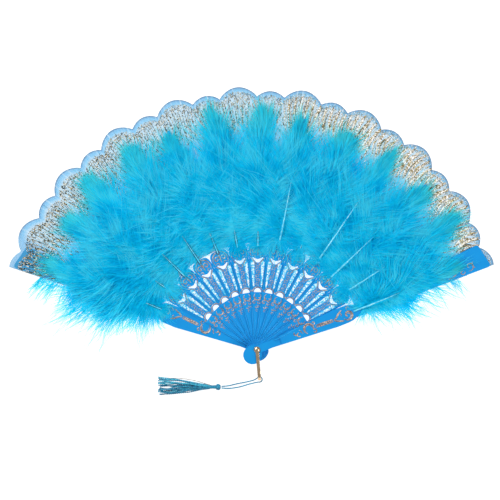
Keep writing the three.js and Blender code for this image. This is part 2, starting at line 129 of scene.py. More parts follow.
def new_finish(name):
    finish = bpy.data.materials.new(name)
    finish.use_nodes = True
    finish.node_tree.nodes.clear()
    return finish, finish.node_tree


def set_stops(ramp, stops):
    """Colour stops of a colour ramp, as (place, hex colour)."""
    points = ramp.color_ramp.elements
    while len(points) < len(stops):
        points.new(0.5)
    for point, (place, code) in zip(points, stops):
        point.position = place
        point.color = srgb(code)


def set_curve(node, points):
    """Points of a float curve node."""
    curve = node.mapping.curves[0]
    while len(curve.points) < len(points):
        curve.points.new(0.5, 0.5)
    for point, place in zip(curve.points, points):
        point.location = place
    node.mapping.update()


def new_piece(name, points, faces, *finishes):
    """A smooth mesh piece from points in metres."""
    mesh = bpy.data.meshes.new(name)
    mesh.from_pydata(points, [], faces)
    for finish in finishes:
        mesh.materials.append(finish)
    mesh.polygons.foreach_set("use_smooth", [True] * len(mesh.polygons))
    mesh.update()
    piece = bpy.data.objects.new(name, mesh)
    bpy.context.scene.collection.objects.link(piece)
    return piece


def store_values(piece, name, values):
    """Stores a number on each point of a piece, for its finish to read."""
    piece.data.attributes.new(name, "FLOAT", "POINT").data.foreach_set("value", values)


def settle(piece):
    """Turns a piece and its modifiers into one plain mesh."""
    bpy.context.view_layer.update()
    shown = piece.evaluated_get(bpy.context.evaluated_depsgraph_get())
    mesh = bpy.data.meshes.new_from_object(shown)
    piece.modifiers.clear()
    piece.data = mesh
    mesh.name = piece.name


def new_tree(name, sizes):
    """A Geometry Nodes tree with named inputs, and the sockets that give them. A whole number stays whole."""
    tree = bpy.data.node_groups.new(name, "GeometryNodeTree")
    tree.interface.new_socket("Geometry", in_out="INPUT", socket_type="NodeSocketGeometry")
    for size, value in sizes.items():
        kind = "NodeSocketInt" if isinstance(value, int) else "NodeSocketFloat"
        tree.interface.new_socket(size, in_out="INPUT", socket_type=kind).default_value = value
    tree.interface.new_socket("Geometry", in_out="OUTPUT", socket_type="NodeSocketGeometry")
    return tree, add(tree, "NodeGroupInput").outputs


def grown_piece(name, tree, sizes, place):
    """What a tree grows from the given sizes, as a plain mesh in its place."""
    piece = new_piece(name, [], [])
    growth = piece.modifiers.new("growth", "NODES")
    growth.node_group = tree
    for item in tree.interface.items_tree:
        if item.item_type == "SOCKET" and item.in_out == "INPUT" and item.name in sizes:
            growth[item.identifier] = sizes[item.name]
    settle(piece)
    piece.data.transform(place)
    return piece


def ring_faces(rings, sides):
    """Faces of a closed tube, from the number of its rings and of the points in each."""
    faces = []
    for i in range(rings - 1):
        for j in range(sides):
            a, b = i * sides + j, i * sides + (j + 1) % sides
            faces.append((a, b, b + sides, a + sides))
    faces.append(tuple(reversed(range(sides))))
    faces.append(tuple(range((rings - 1) * sides, rings * sides)))
    return faces


def tube(points, radius_at, sides):
    """Points and faces of a closed tube round a path, in the path's own unit. radius_at gives the radius
    from the share of the way along and the angle round it."""
    path = [Vector(p) for p in points]
    across = Vector((0, 0, 1))
    rings = []
    for i, middle in enumerate(path):
        ahead = (path[min(i + 1, len(path) - 1)] - path[max(i - 1, 0)]).normalized()
        across = (across - across.dot(ahead) * ahead).normalized()
        other = ahead.cross(across)
        for j in range(sides):
            angle = 2 * math.pi * j / sides
            radius = radius_at(i / (len(path) - 1), angle)
            rings.append(middle + radius * (math.cos(angle) * across + math.sin(angle) * other))
    return rings, ring_faces(len(path), sides)


def smooth_route(points, steps):
    """Points along a Catmull-Rom curve through the given ones."""
    given = [Vector(p) for p in points]
    given = [2 * given[0] - given[1], *given, 2 * given[-1] - given[-2]]
    route = []
    for a, b, c, d in zip(given, given[1:], given[2:], given[3:]):
        slope = c - a
        bend = 2 * a - 5 * b + 4 * c - d
        twist = 3 * b - a - 3 * c + d
        for t in (i / steps for i in range(steps)):
            route.append(0.5 * (2 * b + slope * t + bend * t**2 + twist * t**3))
    route.append(given[-2])
    return route


# Finishes


def moulded_polystyrene(name, deep, light):
    # Injection-moulded polystyrene: an even gloss over very slight flow marks, with a faint change of depth
    finish, tree = new_finish(name)
    place = add(tree, "ShaderNodeTexCoord").outputs["Object"]
    depth = add(tree, "ShaderNodeTexNoise", {"Vector": place, "Scale": 1 / (16 * MM), "Detail": 3.0})
    colour = add(
        tree,
        "ShaderNodeMix",
        {0: depth.outputs["Fac"], 6: srgb(deep), 7: srgb(light)},
        data_type="RGBA",
    )
    flow = add(tree, "ShaderNodeTexNoise", {"Vector": place, "Scale": 1 / (1.2 * MM), "Detail": 4.0})
    marks = add(
        tree, "ShaderNodeBump", {"Strength": 0.1, "Distance": 0.15 * MM, "Height": flow.outputs["Fac"]}
    )
    shader = add(
        tree,
        "ShaderNodeBsdfPrincipled",
        {
            "Base Color": colour.outputs[2],
            "Roughness": 0.42,
            "IOR": 1.59,
            "Specular IOR Level": 0.22,
            "Normal": marks.outputs["Normal"],
        },
    )
    add(tree, "ShaderNodeOutputMaterial", {"Surface": shader.outputs[0]})
    return finish


def flake_glitter(name, flake, stops, roughness):
    # Hot-fixed polyester glitter: foil flakes that each face their own way, each with its own shade at
    # random. The brightest of them, up to white, are painted glints.
    # Real flakes are about 0.3 mm, and are drawn two to three times as large, so that they show
    finish, tree = new_finish(name)
    place = add(tree, "ShaderNodeTexCoord").outputs["Object"]
    flakes = add(tree, "ShaderNodeTexVoronoi", {"Vector": place, "Scale": 1 / (flake * MM)})
    facing = add(tree, "ShaderNodeSeparateColor", {"Color": flakes.outputs["Color"]})
    shade = add(tree, "ShaderNodeValToRGB", {"Fac": facing.outputs["Red"]})
    set_stops(shade, stops)
    edges = add(
        tree, "ShaderNodeBump", {"Strength": 0.5, "Distance": 0.2 * MM, "Height": facing.outputs["Green"]}
    )
    shader = add(
        tree,
        "ShaderNodeBsdfPrincipled",
        {
            "Base Color": shade.outputs["Color"],
            "Metallic": 0.1,
            "Roughness": roughness,
            "Normal": edges.outputs["Normal"],
        },
    )
    add(tree, "ShaderNodeOutputMaterial", {"Surface": shader.outputs[0]})
    return finish


def gilt_foil():
    # Stamped gilt foil on plastic: pinkish gold, worn through in places to a brown size coat
    finish, tree = new_finish("stamped_gilt_foil")
    place = add(tree, "ShaderNodeTexCoord").outputs["Object"]
    wear = add(tree, "ShaderNodeTexNoise", {"Vector": place, "Scale": 1 / (1.6 * MM), "Detail": 3.0})
    shade = add(tree, "ShaderNodeValToRGB", {"Fac": wear.outputs["Fac"]})
    set_stops(shade, [(0.3, "#75686C"), (0.5, "#B8A292"), (0.7, "#EED8C2")])
    grain = add(tree, "ShaderNodeTexNoise", {"Vector": place, "Scale": 1 / (0.3 * MM)})
    relief = add(
        tree, "ShaderNodeBump", {"Strength": 0.35, "Distance": 0.1 * MM, "Height": grain.outputs["Fac"]}
    )
    shader = add(
        tree,
        "ShaderNodeBsdfPrincipled",
        {
            "Base Color": shade.outputs["Color"],
            "Metallic": 0.4,
            "Roughness": 0.36,
            "Normal": relief.outputs["Normal"],
        },
    )
    add(tree, "ShaderNodeOutputMaterial", {"Surface": shader.outputs[0]})
    return finish


def sheer_satin():
    # Thin woven polyester: pale and half sheer, with a soft sheen, fine creases that fan out from the rivet,
    # and a darker heat-cut edge. Along the creases its colour is lightened, a painted sheen. Threads are 0.2
    # mm apart and are drawn at 0.7 mm, so that they show
    finish, tree = new_finish("sheer_woven_polyester")
    thread = 0.7
    threads_per_degree = 5.2
    # The dye changes over this distance from the rim, and the guard's edge is between these two angles
    dye_reach = 60.0
    guard_edge = {1: -66.0, 2: -64.0}
    rim = add(tree, "ShaderNodeAttribute", attribute_name="rim").outputs["Fac"]
    turn = add(tree, "ShaderNodeAttribute", attribute_name="turn").outputs["Fac"]
    reach = add(tree, "ShaderNodeAttribute", attribute_name="reach").outputs["Fac"]
    in_share = add(tree, "ShaderNodeMath", {0: rim, 1: dye_reach}, operation="DIVIDE")
    dye = add(tree, "ShaderNodeValToRGB", {"Fac": in_share.outputs[0]})
    set_stops(
        dye,
        [
            (0.006, "#4E86B4"),
            (0.022, "#74B8E4"),
            (0.06, "#86CCF2"),
            (0.12, "#C4E0F2"),
            (0.5, "#A0D8EE"),
            (0.95, "#30BCE8"),
        ],
    )
    crease = add(tree, "ShaderNodeTexNoise", {"W": turn, "Scale": 1.6, "Detail": 3.0}, noise_dimensions="1D")
    # Painted sheen: the colour is lightened towards near white along the creases
    sheen = add(tree, "ShaderNodeMapRange", {0: crease.outputs["Fac"], 1: 0.52, 2: 0.75, 3: 0.0, 4: 0.45})
    # Where the cloth is drawn tight by the scroll heads its colour is painted almost white in patches, a
    # painted sheen
    patch = add(tree, "ShaderNodeTexNoise", {"W": turn, "Scale": 0.16, "Detail": 1.5}, noise_dimensions="1D")
    patch = add(tree, "ShaderNodeMapRange", {0: patch.outputs["Fac"], 1: 0.44, 2: 0.58})
    inner = add(tree, "ShaderNodeMapRange", {0: reach, 1: 96.0, 2: 112.0, 3: 0.6, 4: 0.0})
    shine = add(tree, "ShaderNodeMath", {0: patch.outputs[0], 1: inner.outputs[0]}, operation="MULTIPLY")
    sheen = add(tree, "ShaderNodeMath", {0: sheen.outputs[0], 1: shine.outputs[0]}, operation="MAXIMUM")
    dye_and_painted_sheen = add(
        tree,
        "ShaderNodeMix",
        {0: sheen.outputs[0], 6: dye.outputs["Color"], 7: srgb("#E2F3FC")},
        data_type="RGBA",
    )
    warp = add(tree, "ShaderNodeMath", {0: turn, 1: threads_per_degree}, operation="MULTIPLY")
    warp = add(tree, "ShaderNodeMath", {0: warp.outputs[0], 1: 2 * math.pi}, operation="MULTIPLY")
    warp = add(tree, "ShaderNodeMath", {0: warp.outputs[0]}, operation="SINE")
    weft = add(tree, "ShaderNodeMath", {0: reach, 1: 2 * math.pi / thread}, operation="MULTIPLY")
    weft = add(tree, "ShaderNodeMath", {0: weft.outputs[0]}, operation="SINE")
    weave = add(tree, "ShaderNodeMath", {0: warp.outputs[0], 1: weft.outputs[0]}, operation="MULTIPLY")
    folds = add(
        tree,
        "ShaderNodeMath",
        {0: crease.outputs["Fac"], 1: 5.0, 2: weave.outputs[0]},
        operation="MULTIPLY_ADD",
    )
    relief = add(
        tree, "ShaderNodeBump", {"Strength": 0.3, "Distance": 0.1 * MM, "Height": folds.outputs[0]}
    )
    # Glue has soaked the cloth where it is stuck to the back guard: it is deeper there, and the guard shows
    # through
    cover = add(tree, "ShaderNodeMapRange", {0: turn, **guard_edge, 3: 0.5, 4: 0.76})
    soaked = add(tree, "ShaderNodeMapRange", {0: turn, **guard_edge, 3: 1.0, 4: 0.0})
    dye_and_painted_sheen = add(
        tree,
        "ShaderNodeMix",
        {0: soaked.outputs[0], 6: dye_and_painted_sheen.outputs[2], 7: srgb("#4CB0E0")},
        data_type="RGBA",
    )
    shader = add(
        tree,
        "ShaderNodeBsdfPrincipled",
        {
            "Base Color": dye_and_painted_sheen.outputs[2],
            "Roughness": 0.55,
            "Alpha": cover.outputs[0],
            "Specular IOR Level": 0.3,
            "Sheen Weight": 0.3,
            "Sheen Roughness": 0.4,
            "Normal": relief.outputs["Normal"],
        },
    )
    add(tree, "ShaderNodeOutputMaterial", {"Surface": shader.outputs[0]})
    return finish


def marabou_down():
    # Dyed marabou: downy barbs, each its own shade, darker towards each barb's root and lighter towards its
    # tip, which paints the shade deep in the down, with a green cast at the plume's own ends, and lit through
    # from behind
    finish, tree = new_finish("dyed_marabou_down")
    tone = add(tree, "ShaderNodeAttribute", attribute_name="tone").outputs["Fac"]
    along = add(tree, "ShaderNodeAttribute", attribute_name="along").outputs["Fac"]
    place = add(tree, "ShaderNodeTexCoord").outputs["Object"]
    drift = add(tree, "ShaderNodeTexNoise", {"Vector": place, "Scale": 1 / (17 * MM), "Detail": 2.0})
    # Painted shade: each barb is darker at its root, where the down lies thick, and lighter towards its tip
    root_shade_and_drift = add(
        tree, "ShaderNodeMath", {0: along, 1: 0.28, 2: drift.outputs["Fac"]}, operation="MULTIPLY_ADD"
    )
    mixed = add(tree, "ShaderNodeMath", {0: tone, 1: 0.34, 2: root_shade_and_drift.outputs[0]}, operation="MULTIPLY_ADD")
    dye = add(tree, "ShaderNodeValToRGB", {"Fac": mixed.outputs[0]})
    set_stops(dye, [(0.3, "#00BCE8"), (0.58, "#00D6FA"), (0.84, "#16E6FF"), (1.0, "#58EEFF")])
    edge = add(tree, "ShaderNodeAttribute", attribute_name="edge").outputs["Fac"]
    green = add(tree, "ShaderNodeMath", {0: along, 1: edge}, operation="MULTIPLY")
    green = add(tree, "ShaderNodeMath", {0: green.outputs[0], 1: 0.45}, operation="MULTIPLY")
    shade = add(
        tree,
        "ShaderNodeMix",
        {0: green.outputs[0], 6: dye.outputs["Color"], 7: srgb("#66E8DE")},
        data_type="RGBA",
    ).outputs[2]
    body = add(
        tree,
        "ShaderNodeBsdfPrincipled",
        {"Base Color": shade, "Roughness": 0.8, "Specular IOR Level": 0.05},
    )
    through = add(tree, "ShaderNodeBsdfTranslucent", {"Color": shade})
    shader = add(tree, "ShaderNodeMixShader", {0: 0.5, 1: body.outputs[0], 2: through.outputs[0]})
    add(tree, "ShaderNodeOutputMaterial", {"Surface": shader.outputs[0]})
    return finish


def dyed_quill():
    # Dyed keratin: a smooth hard shaft, deeper in colour than the down and with a bright gloss. Its colour
    # varies in streaks up to near white, which paint highlights along the shaft
    finish, tree = new_finish("dyed_keratin_quill")
    place = add(tree, "ShaderNodeTexCoord").outputs["Object"]
    highlight_streak = add(tree, "ShaderNodeTexNoise", {"Vector": place, "Scale": 1 / (3 * MM), "Detail": 2.0})
    shade = add(tree, "ShaderNodeValToRGB", {"Fac": highlight_streak.outputs["Fac"]})
    set_stops(shade, [(0.3, "#2CC0EC"), (0.55, "#6CE0FA"), (0.75, "#B4F6FF")])
    # The shaft's colour is painted darker at its flanks, a painted shade along both sides of the quill
    flank_shade = add(tree, "ShaderNodeAttribute", attribute_name="flank_shade").outputs["Fac"]
    flank_shade = add(tree, "ShaderNodeMapRange", {0: flank_shade, 1: 0.55, 2: 0.9}).outputs[0]
    flank_shaded = add(
        tree,
        "ShaderNodeMix",
        {0: flank_shade, 6: shade.outputs["Color"], 7: srgb("#034E78")},
        data_type="RGBA",
    ).outputs[2]
    shader = add(
        tree,
        "ShaderNodeBsdfPrincipled",
        {"Base Color": flank_shaded, "Roughness": 0.35, "IOR": 1.54, "Coat Weight": 0.2},
    )
    add(tree, "ShaderNodeOutputMaterial", {"Surface": shader.outputs[0]})
    return finish


def gold_plate():
    # Gold-plated pressed brass: polished, with fine rubbing marks and a slightly redder tone in worn places
    finish, tree = new_finish("gold_plated_brass")
    place = add(tree, "ShaderNodeTexCoord").outputs["Object"]
    wear = add(tree, "ShaderNodeTexNoise", {"Vector": place, "Scale": 1 / (2.5 * MM), "Detail": 4.0})
    shade = add(tree, "ShaderNodeValToRGB", {"Fac": wear.outputs["Fac"]})
    set_stops(shade, [(0.3, "#D6B088"), (0.6, "#F2D6B0"), (0.8, "#FFF0DA")])
    gloss = add(tree, "ShaderNodeMapRange", {"Value": wear.outputs["Fac"], 3: 0.32, 4: 0.18})
    rubbed = add(tree, "ShaderNodeTexNoise", {"Vector": place, "Scale": 1 / (0.7 * MM), "Detail": 2.0})
    relief = add(
        tree, "ShaderNodeBump", {"Strength": 0.15, "Distance": 0.1 * MM, "Height": rubbed.outputs["Fac"]}
    )
    shader = add(
        tree,
        "ShaderNodeBsdfPrincipled",
        {
            "Base Color": shade.outputs["Color"],
            "Metallic": 1.0,
            "Roughness": gloss.outputs["Result"],
            "Normal": relief.outputs["Normal"],
        },
    )
    add(tree, "ShaderNodeOutputMaterial", {"Surface": shader.outputs[0]})
    return finish


def rayon_thread(name, stops):
    # Twisted rayon: bright smooth filaments with a silky gloss, and a shade that varies from thread to thread
    # and drifts along each
    finish, tree = new_finish(name)
    place = add(tree, "ShaderNodeTexCoord").outputs["Object"]
    tone = add(tree, "ShaderNodeAttribute", attribute_name="tone").outputs["Fac"]
    drift = add(tree, "ShaderNodeTexNoise", {"Vector": place, "Scale": 1 / (2.2 * MM), "Detail": 3.0})
    mixed = add(tree, "ShaderNodeMath", {0: tone, 1: 0.5, 2: drift.outputs["Fac"]}, operation="MULTIPLY_ADD")
    shade = add(tree, "ShaderNodeValToRGB", {"Fac": mixed.outputs[0]})
    set_stops(shade, stops)
    hairs = add(tree, "ShaderNodeTexNoise", {"Vector": place, "Scale": 1 / (0.25 * MM), "Detail": 2.0})
    relief = add(
        tree, "ShaderNodeBump", {"Strength": 0.4, "Distance": 0.1 * MM, "Height": hairs.outputs["Fac"]}
    )
    shader = add(
        tree,
        "ShaderNodeBsdfPrincipled",
        {
            "Base Color": shade.outputs["Color"],
            "Roughness": 0.45,
            "Sheen Weight": 0.2,
            "Normal": relief.outputs["Normal"],
        },
    )
    add(tree, "ShaderNodeOutputMaterial", {"Surface": shader.outputs[0]})
    return finish


def opal_acrylic():
    # The table top: white opal acrylic, lit from below as on a light table, which leaves hardly a shadow
    finish, tree = new_finish("lit_opal_acrylic")
    shader = add(
        tree,
        "ShaderNodeBsdfPrincipled",
        {
            "Base Color": srgb("#969696"),
            "Roughness": 0.8,
            "Specular IOR Level": 0.1,
            "Emission Color": (1.0, 1.0, 1.0, 1.0),
            "Emission Strength": 0.92,
        },
    )
    add(tree, "ShaderNodeOutputMaterial", {"Surface": shader.outputs[0]})
    return finish


PLASTIC = moulded_polystyrene("azure_moulded_polystyrene", "#0085D0", "#009CE6")
# A deep plastic for thin lines of painted shade on the inner sticks
SHADE_PLASTIC = moulded_polystyrene("painted_shade_polystyrene", "#004A92", "#0062B2")
# A lighter plastic that paints highlights on the guards' ribs and the sticks' ridges
HIGHLIGHT_PLASTIC = moulded_polystyrene("painted_highlight_polystyrene", "#1A9CE8", "#3AB4F2")
SILVER_GLITTER = flake_glitter(
    "silver_cyan_glitter",
    0.95,
    [(0.2, "#38BEF0"), (0.45, "#82E2FC"), (0.65, "#C8F6FF"), (0.8, "#FFFFFF")],
    0.35,
)
DARK_GLITTER = flake_glitter(
    "brown_gold_glitter",
    0.9,
    [(0.3, "#24281E"), (0.5, "#5E5A32"), (0.7, "#AE9856"), (0.9, "#FFF8E4")],
    0.42,
)
PALE_GLITTER = flake_glitter(
    "pale_gold_glitter",
    0.7,
    [(0.1, "#5A4A26"), (0.3, "#B09656"), (0.5, "#E6D6A6"), (0.62, "#FFFFFF")],
    0.42,
)
GILT = gilt_foil()
CLOTH = sheer_satin()
DOWN = marabou_down()
QUILL = dyed_quill()
GOLD = gold_plate()
RAYON = rayon_thread(
    "teal_rayon_thread", [(0.35, "#005074"), (0.62, "#04789E"), (0.85, "#149AC0"), (1.0, "#44C0DA")]
)
FADED_RAYON = rayon_thread("faded_rayon_thread", [(0.35, "#7E7C78"), (0.8, "#B5ABA2")])


# Camera, light and table

# The photo is taken from straight above, with the camera rolled by half a degree. The lens is in
# millimetres, and places are in metres
LENS = 199.0
CAMERA_PLACE = (-0.00683, 0.08631, 2.41)
CAMERA_ROLL = 0.5

# The middle of the fan, which the lights face, and half the table's side
LIT_PLACE = (0.0, 0.09, 0.0)
TABLE_HALF = 1.6


def light_and_camera():
    scene = bpy.context.scene
    lens = bpy.data.cameras.new("camera")
    lens.sensor_width = 36.0
    lens.lens = LENS
    lens.clip_start = 0.1
    camera = bpy.data.objects.new("camera", lens)
    camera.location = CAMERA_PLACE
    camera.rotation_euler = (0.0, 0.0, math.radians(CAMERA_ROLL))
    scene.collection.objects.link(camera)
    scene.camera = camera

    world = bpy.data.worlds.new("studio")
    world.use_nodes = True
    world.node_tree.nodes["Background"].inputs["Color"].default_value = (1.0, 1.0, 1.0, 1.0)
    world.node_tree.nodes["Background"].inputs["Strength"].default_value = 0.32
    scene.world = world
    scene.view_settings.view_transform = "Standard"

    # A large soft box above the fan's top left, and a second on its right
    for name, place, size, power in (
        ("soft_box", (-0.8, 0.8, 1.15), 0.9, 19.0),
        ("side_box", (0.95, -0.35, 1.0), 0.6, 8.5),
    ):
        lamp = bpy.data.lights.new(name, "AREA")
        lamp.size = size
        lamp.energy = power
        holder = bpy.data.objects.new(name, lamp)
        holder.location = place
        aim = Vector(LIT_PLACE) - Vector(place)
        holder.rotation_euler = aim.to_track_quat("-Z", "Y").to_euler()
        scene.collection.objects.link(holder)

    corners = [(x * TABLE_HALF, y * TABLE_HALF, 0.0) for x, y in ((-1, -1), (1, -1), (1, 1), (-1, 1))]
    new_piece("table_top", corners, [(0, 1, 2, 3)], opal_acrylic())


# The tassel

# It starts at its knot, and lies turned a little
KNOT_PLACE = (-30.9, -33.3, 2.9)
TASSEL_TURN = 0.6

# The cord's route, from the knot round the bend of the bail and back
CORD_ROUTE = [
    (-30.5, -32.65, 2.7),
    (-29.2, -32.6, 2.5),
    (-24.2, -32.1, 1.3),
    (-17.6, -30.5, 0.8),
    (-8.8, -28.6, 2.2),
    (-3.0, -27.0, 4.6),
    (-0.4, -25.6, 5.7),
    (1.2, -24.25, 6.0),
    (2.7, -23.95, 6.0),
    (4.1, -24.6, 6.0),
    (4.75, -26.2, 6.0),
    (4.1, -27.8, 6.0),
    (2.6, -28.5, 6.0),
    (0.8, -28.6, 5.6),
    (-6.0, -30.4, 2.4),
    (-15.4, -33.2, 0.8),
    (-24.2, -34.5, 1.3),
    (-29.2, -34.2, 2.5),
    (-30.5, -34.15, 2.7),
]
CORD_RADIUS = 0.475

# The skirt hangs from just inside the end of the bound neck
SKIRT_START = -9.7

STRAY_ROUTE = [
    (-40.2, -31.6, 3.4),
    (-46.0, -29.9, 3.2),
    (-55.0, -27.6, 2.2),
    (-66.3, -26.0, 1.2),
    (-77.0, -25.9, 0.8),
    (-86.3, -25.0, 0.6),
]


def tassel_cord(with_pieces):
    """One three-ply cord, looped round the bend of the bail."""
    route = smooth_route(CORD_ROUTE, 22)
    length = sum((b - a).length for a, b in zip(route, route[1:]))
    # The length of one turn of the plies, and the cord's least and added radius as shares of its own
    plies, lay = 3, 3.4
    valley, swell = 0.94, 0.2

    def ply_radius(share, angle):
        turned = (angle + 2 * math.pi * share * length / lay) * plies / 2
        return CORD_RADIUS * (valley + swell * abs(math.cos(turned)))

    points, faces = tube(route, ply_radius, 18)
    cord = new_piece("tassel_cord_rayon", [p * MM for p in points], faces, RAYON)
    store_values(cord, "tone", [0.42] * len(points))
    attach(cord, "tassel")
    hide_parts("tassel_cord")
    [c * MM for c in CORD_ROUTE[0]]


def tassel_matrix():
    """The matrix that puts the tassel, drawn along -X from its start, in its place."""
    return Matrix.Translation(Vector(KNOT_PLACE) * MM) @ Matrix.Rotation(-math.radians(TASSEL_TURN), 4, "Z")


def tassel_knot():
    """A round knot of wound cord, and the neck bound under it, drawn along -X from the knot's start."""
    points, faces = [], []

    def wind(path, radius, sides):
        more, more_faces = tube(path, radius, sides)
        faces.extend(tuple(len(points) + i for i in face) for face in more_faces)
        points.extend(more)

    def straight(start, long, steps):
        return [(start - long * i / steps, 0, 0) for i in range(steps + 1)]

    # The wound ball: a cord that goes round a core, up and down it, and over and under itself on the way
    around, up, over, steps = 7, 5, 17.5, 420
    middle, half_long, radius, weave = -2.6, 2.05, 2.3, 0.22
    woven = []
    for i in range(steps + 1):
        t = 2 * math.pi * i / steps
        height = 0.86 * math.sin(up * t)
        out = (radius + weave * math.cos(over * t)) * math.sqrt(1 - height**2)
        woven.append((middle - half_long * height, out * math.cos(around * t), out * math.sin(around * t)))
    wind(woven, lambda share, angle: 0.47, 7)

    def core_radius(share, angle):
        return 0.3 + 1.95 * math.sin(math.pi * min(max(share, 0.02), 0.98)) ** 0.6

    wind(straight(-0.35, 4.5, 14), core_radius, 16)

    # The bound neck: close turns of one thread over a core
    turns, steps = 12, 12 * 14
    neck_start, neck_long = -4.8, 4.9
    bound = []
    for i in range(steps + 1):
        t = i / steps
        angle = 2 * math.pi * turns * t
        out = 1.42 - 0.12 * math.sin(math.pi * t)
        bound.append((neck_start - neck_long * t, out * math.cos(angle), out * math.sin(angle)))
    wind(bound, lambda share, angle: 0.26, 6)
    wind(straight(-4.4, 5.6, 10), lambda share, angle: 1.38, 16)

    knot = new_piece("tassel_knot_rayon", [Vector(p) * MM for p in points], faces, RAYON)
    knot.data.transform(tassel_matrix())
    store_values(knot, "tone", [0.45] * len(points))
    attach(knot, "tassel")
    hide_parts("tassel_knot")
    return knot


def skirt_tree():
    """Two-ply cords that hang from a bound neck and spread as they lie on a table."""
    tree, given = new_tree(
        "tassel_skirt",
        {
            "Cord Count": 30,
            "Length": 45.4 * MM,
            "Root Radius": 1.5 * MM,
            "Half Width": 7.6 * MM,
            "Half Height": 2.2 * MM,
            "Table": -2.35 * MM,
            "Ply Radius": 0.29 * MM,
            "Lay": 3.6 * MM,
            "Waves In A Metre": 55.0,
            "Wave Reach": 7.0 * MM,
            "Seed": 3,
        },
    )
    seeds = [
        add(tree, "ShaderNodeMath", {0: given["Seed"], 1: step}, operation="ADD").outputs[0]
        for step in (0.0, 11.0, 23.0)
    ]

    # Where each cord runs: its place across the spread and its layer, both from -1 to 1
    dots = add(tree, "GeometryNodePoints", {"Count": given["Cord Count"]}).outputs[0]
    index = add(tree, "GeometryNodeInputIndex").outputs[0]
    place = add(tree, "ShaderNodeMath", {0: index, 1: 0.5}, operation="ADD").outputs[0]
    place = add(tree, "ShaderNodeMath", {0: place, 1: given["Cord Count"]}, operation="DIVIDE").outputs[0]
    place = add(tree, "ShaderNodeMath", {0: place, 1: 2.0, 2: -1.0}, operation="MULTIPLY_ADD").outputs[0]
    jitter = add(tree, "FunctionNodeRandomValue", {2: -0.07, 3: 0.07, 8: seeds[0]}).outputs[1]
    place = add(tree, "ShaderNodeMath", {0: place, 1: jitter}, operation="ADD").outputs[0]
    layer = add(tree, "FunctionNodeRandomValue", {2: -1.0, 3: 1.0, 8: seeds[1]}).outputs[1]
    tone = add(tree, "FunctionNodeRandomValue", {2: 0.0, 3: 1.0, 8: seeds[2]}).outputs[1]
    for name, value in (("place", place), ("layer", layer), ("tone", tone)):
        dots = add(tree, "GeometryNodeStoreNamedAttribute", {0: dots, 2: name, 3: value}).outputs[0]
    size = add(tree, "ShaderNodeMapRange", {0: tone, 3: 0.95, 4: 1.0}).outputs[0]
    size = add(tree, "ShaderNodeMath", {0: size, 1: given["Length"]}, operation="MULTIPLY").outputs[0]
    line = add(tree, "GeometryNodeCurvePrimitiveLine", {1: (-1.0, 0.0, 0.0)}).outputs[0]
    line = add(tree, "GeometryNodeResampleCurve", {0: line, 2: 84}).outputs[0]
    cords = add(tree, "GeometryNodeInstanceOnPoints", {0: dots, 2: line, 6: size}).outputs[0]
    cords = add(tree, "GeometryNodeRealizeInstances", {0: cords}).outputs[0]

    # The spread, with slow waves that grow towards the ends
    share = add(tree, "GeometryNodeSplineParameter").outputs["Factor"]
    run = add(tree, "GeometryNodeSplineParameter").outputs["Length"]
    spread = add(tree, "ShaderNodeFloatCurve", {1: share})
    set_curve(spread, [(0.0, 0.0), (0.18, 0.2), (0.45, 0.55), (0.75, 0.87), (1.0, 1.0)])
    spread = spread.outputs[0]
    here = add(tree, "GeometryNodeInputPosition").outputs[0]
    x = add(tree, "ShaderNodeSeparateXYZ", {0: here}).outputs[0]
    place = add(tree, "GeometryNodeInputNamedAttribute", {0: "place"}).outputs[0]
    layer = add(tree, "GeometryNodeInputNamedAttribute", {0: "layer"}).outputs[0]
    lain = []
    for across, size in ((place, given["Half Width"]), (layer, given["Half Height"])):
        wide = add(tree, "ShaderNodeMapRange", {0: spread, 3: given["Root Radius"], 4: size}).outputs[0]
        lain.append(add(tree, "ShaderNodeMath", {0: across, 1: wide}, operation="MULTIPLY").outputs[0])
    apart = add(tree, "ShaderNodeMath", {0: place, 1: 9.0, 2: layer}, operation="MULTIPLY_ADD").outputs[0]
    reach = add(tree, "ShaderNodeMath", {0: run, 1: given["Waves In A Metre"]}, operation="MULTIPLY")
    at = add(tree, "ShaderNodeCombineXYZ", {0: reach.outputs[0], 1: apart, 2: layer}).outputs[0]
    wave = add(tree, "ShaderNodeTexNoise", {"Vector": at, "Scale": 1.0, "Detail": 0.0}).outputs["Color"]
    wave = add(tree, "ShaderNodeVectorMath", {0: wave, 1: (0.5, 0.5, 0.5)}, operation="SUBTRACT").outputs[0]
    swing = add(tree, "ShaderNodeMath", {0: share, 1: given["Wave Reach"]}, operation="MULTIPLY").outputs[0]
    wave = add(tree, "ShaderNodeVectorMath", {0: wave, 3: swing}, operation="SCALE").outputs[0]
    parts = add(tree, "ShaderNodeSeparateXYZ", {0: wave}).outputs
    y = add(tree, "ShaderNodeMath", {0: lain[0], 1: parts[1]}, operation="ADD").outputs[0]
    z = add(tree, "ShaderNodeMath", {0: lain[1], 1: parts[2]}, operation="ADD").outputs[0]
    z = add(tree, "ShaderNodeMath", {0: z, 1: given["Table"]}, operation="MAXIMUM").outputs[0]
    at = add(tree, "ShaderNodeCombineXYZ", {0: x, 1: y, 2: z}).outputs[0]
    cords = add(tree, "GeometryNodeSetPosition", {0: cords, 2: at}).outputs[0]

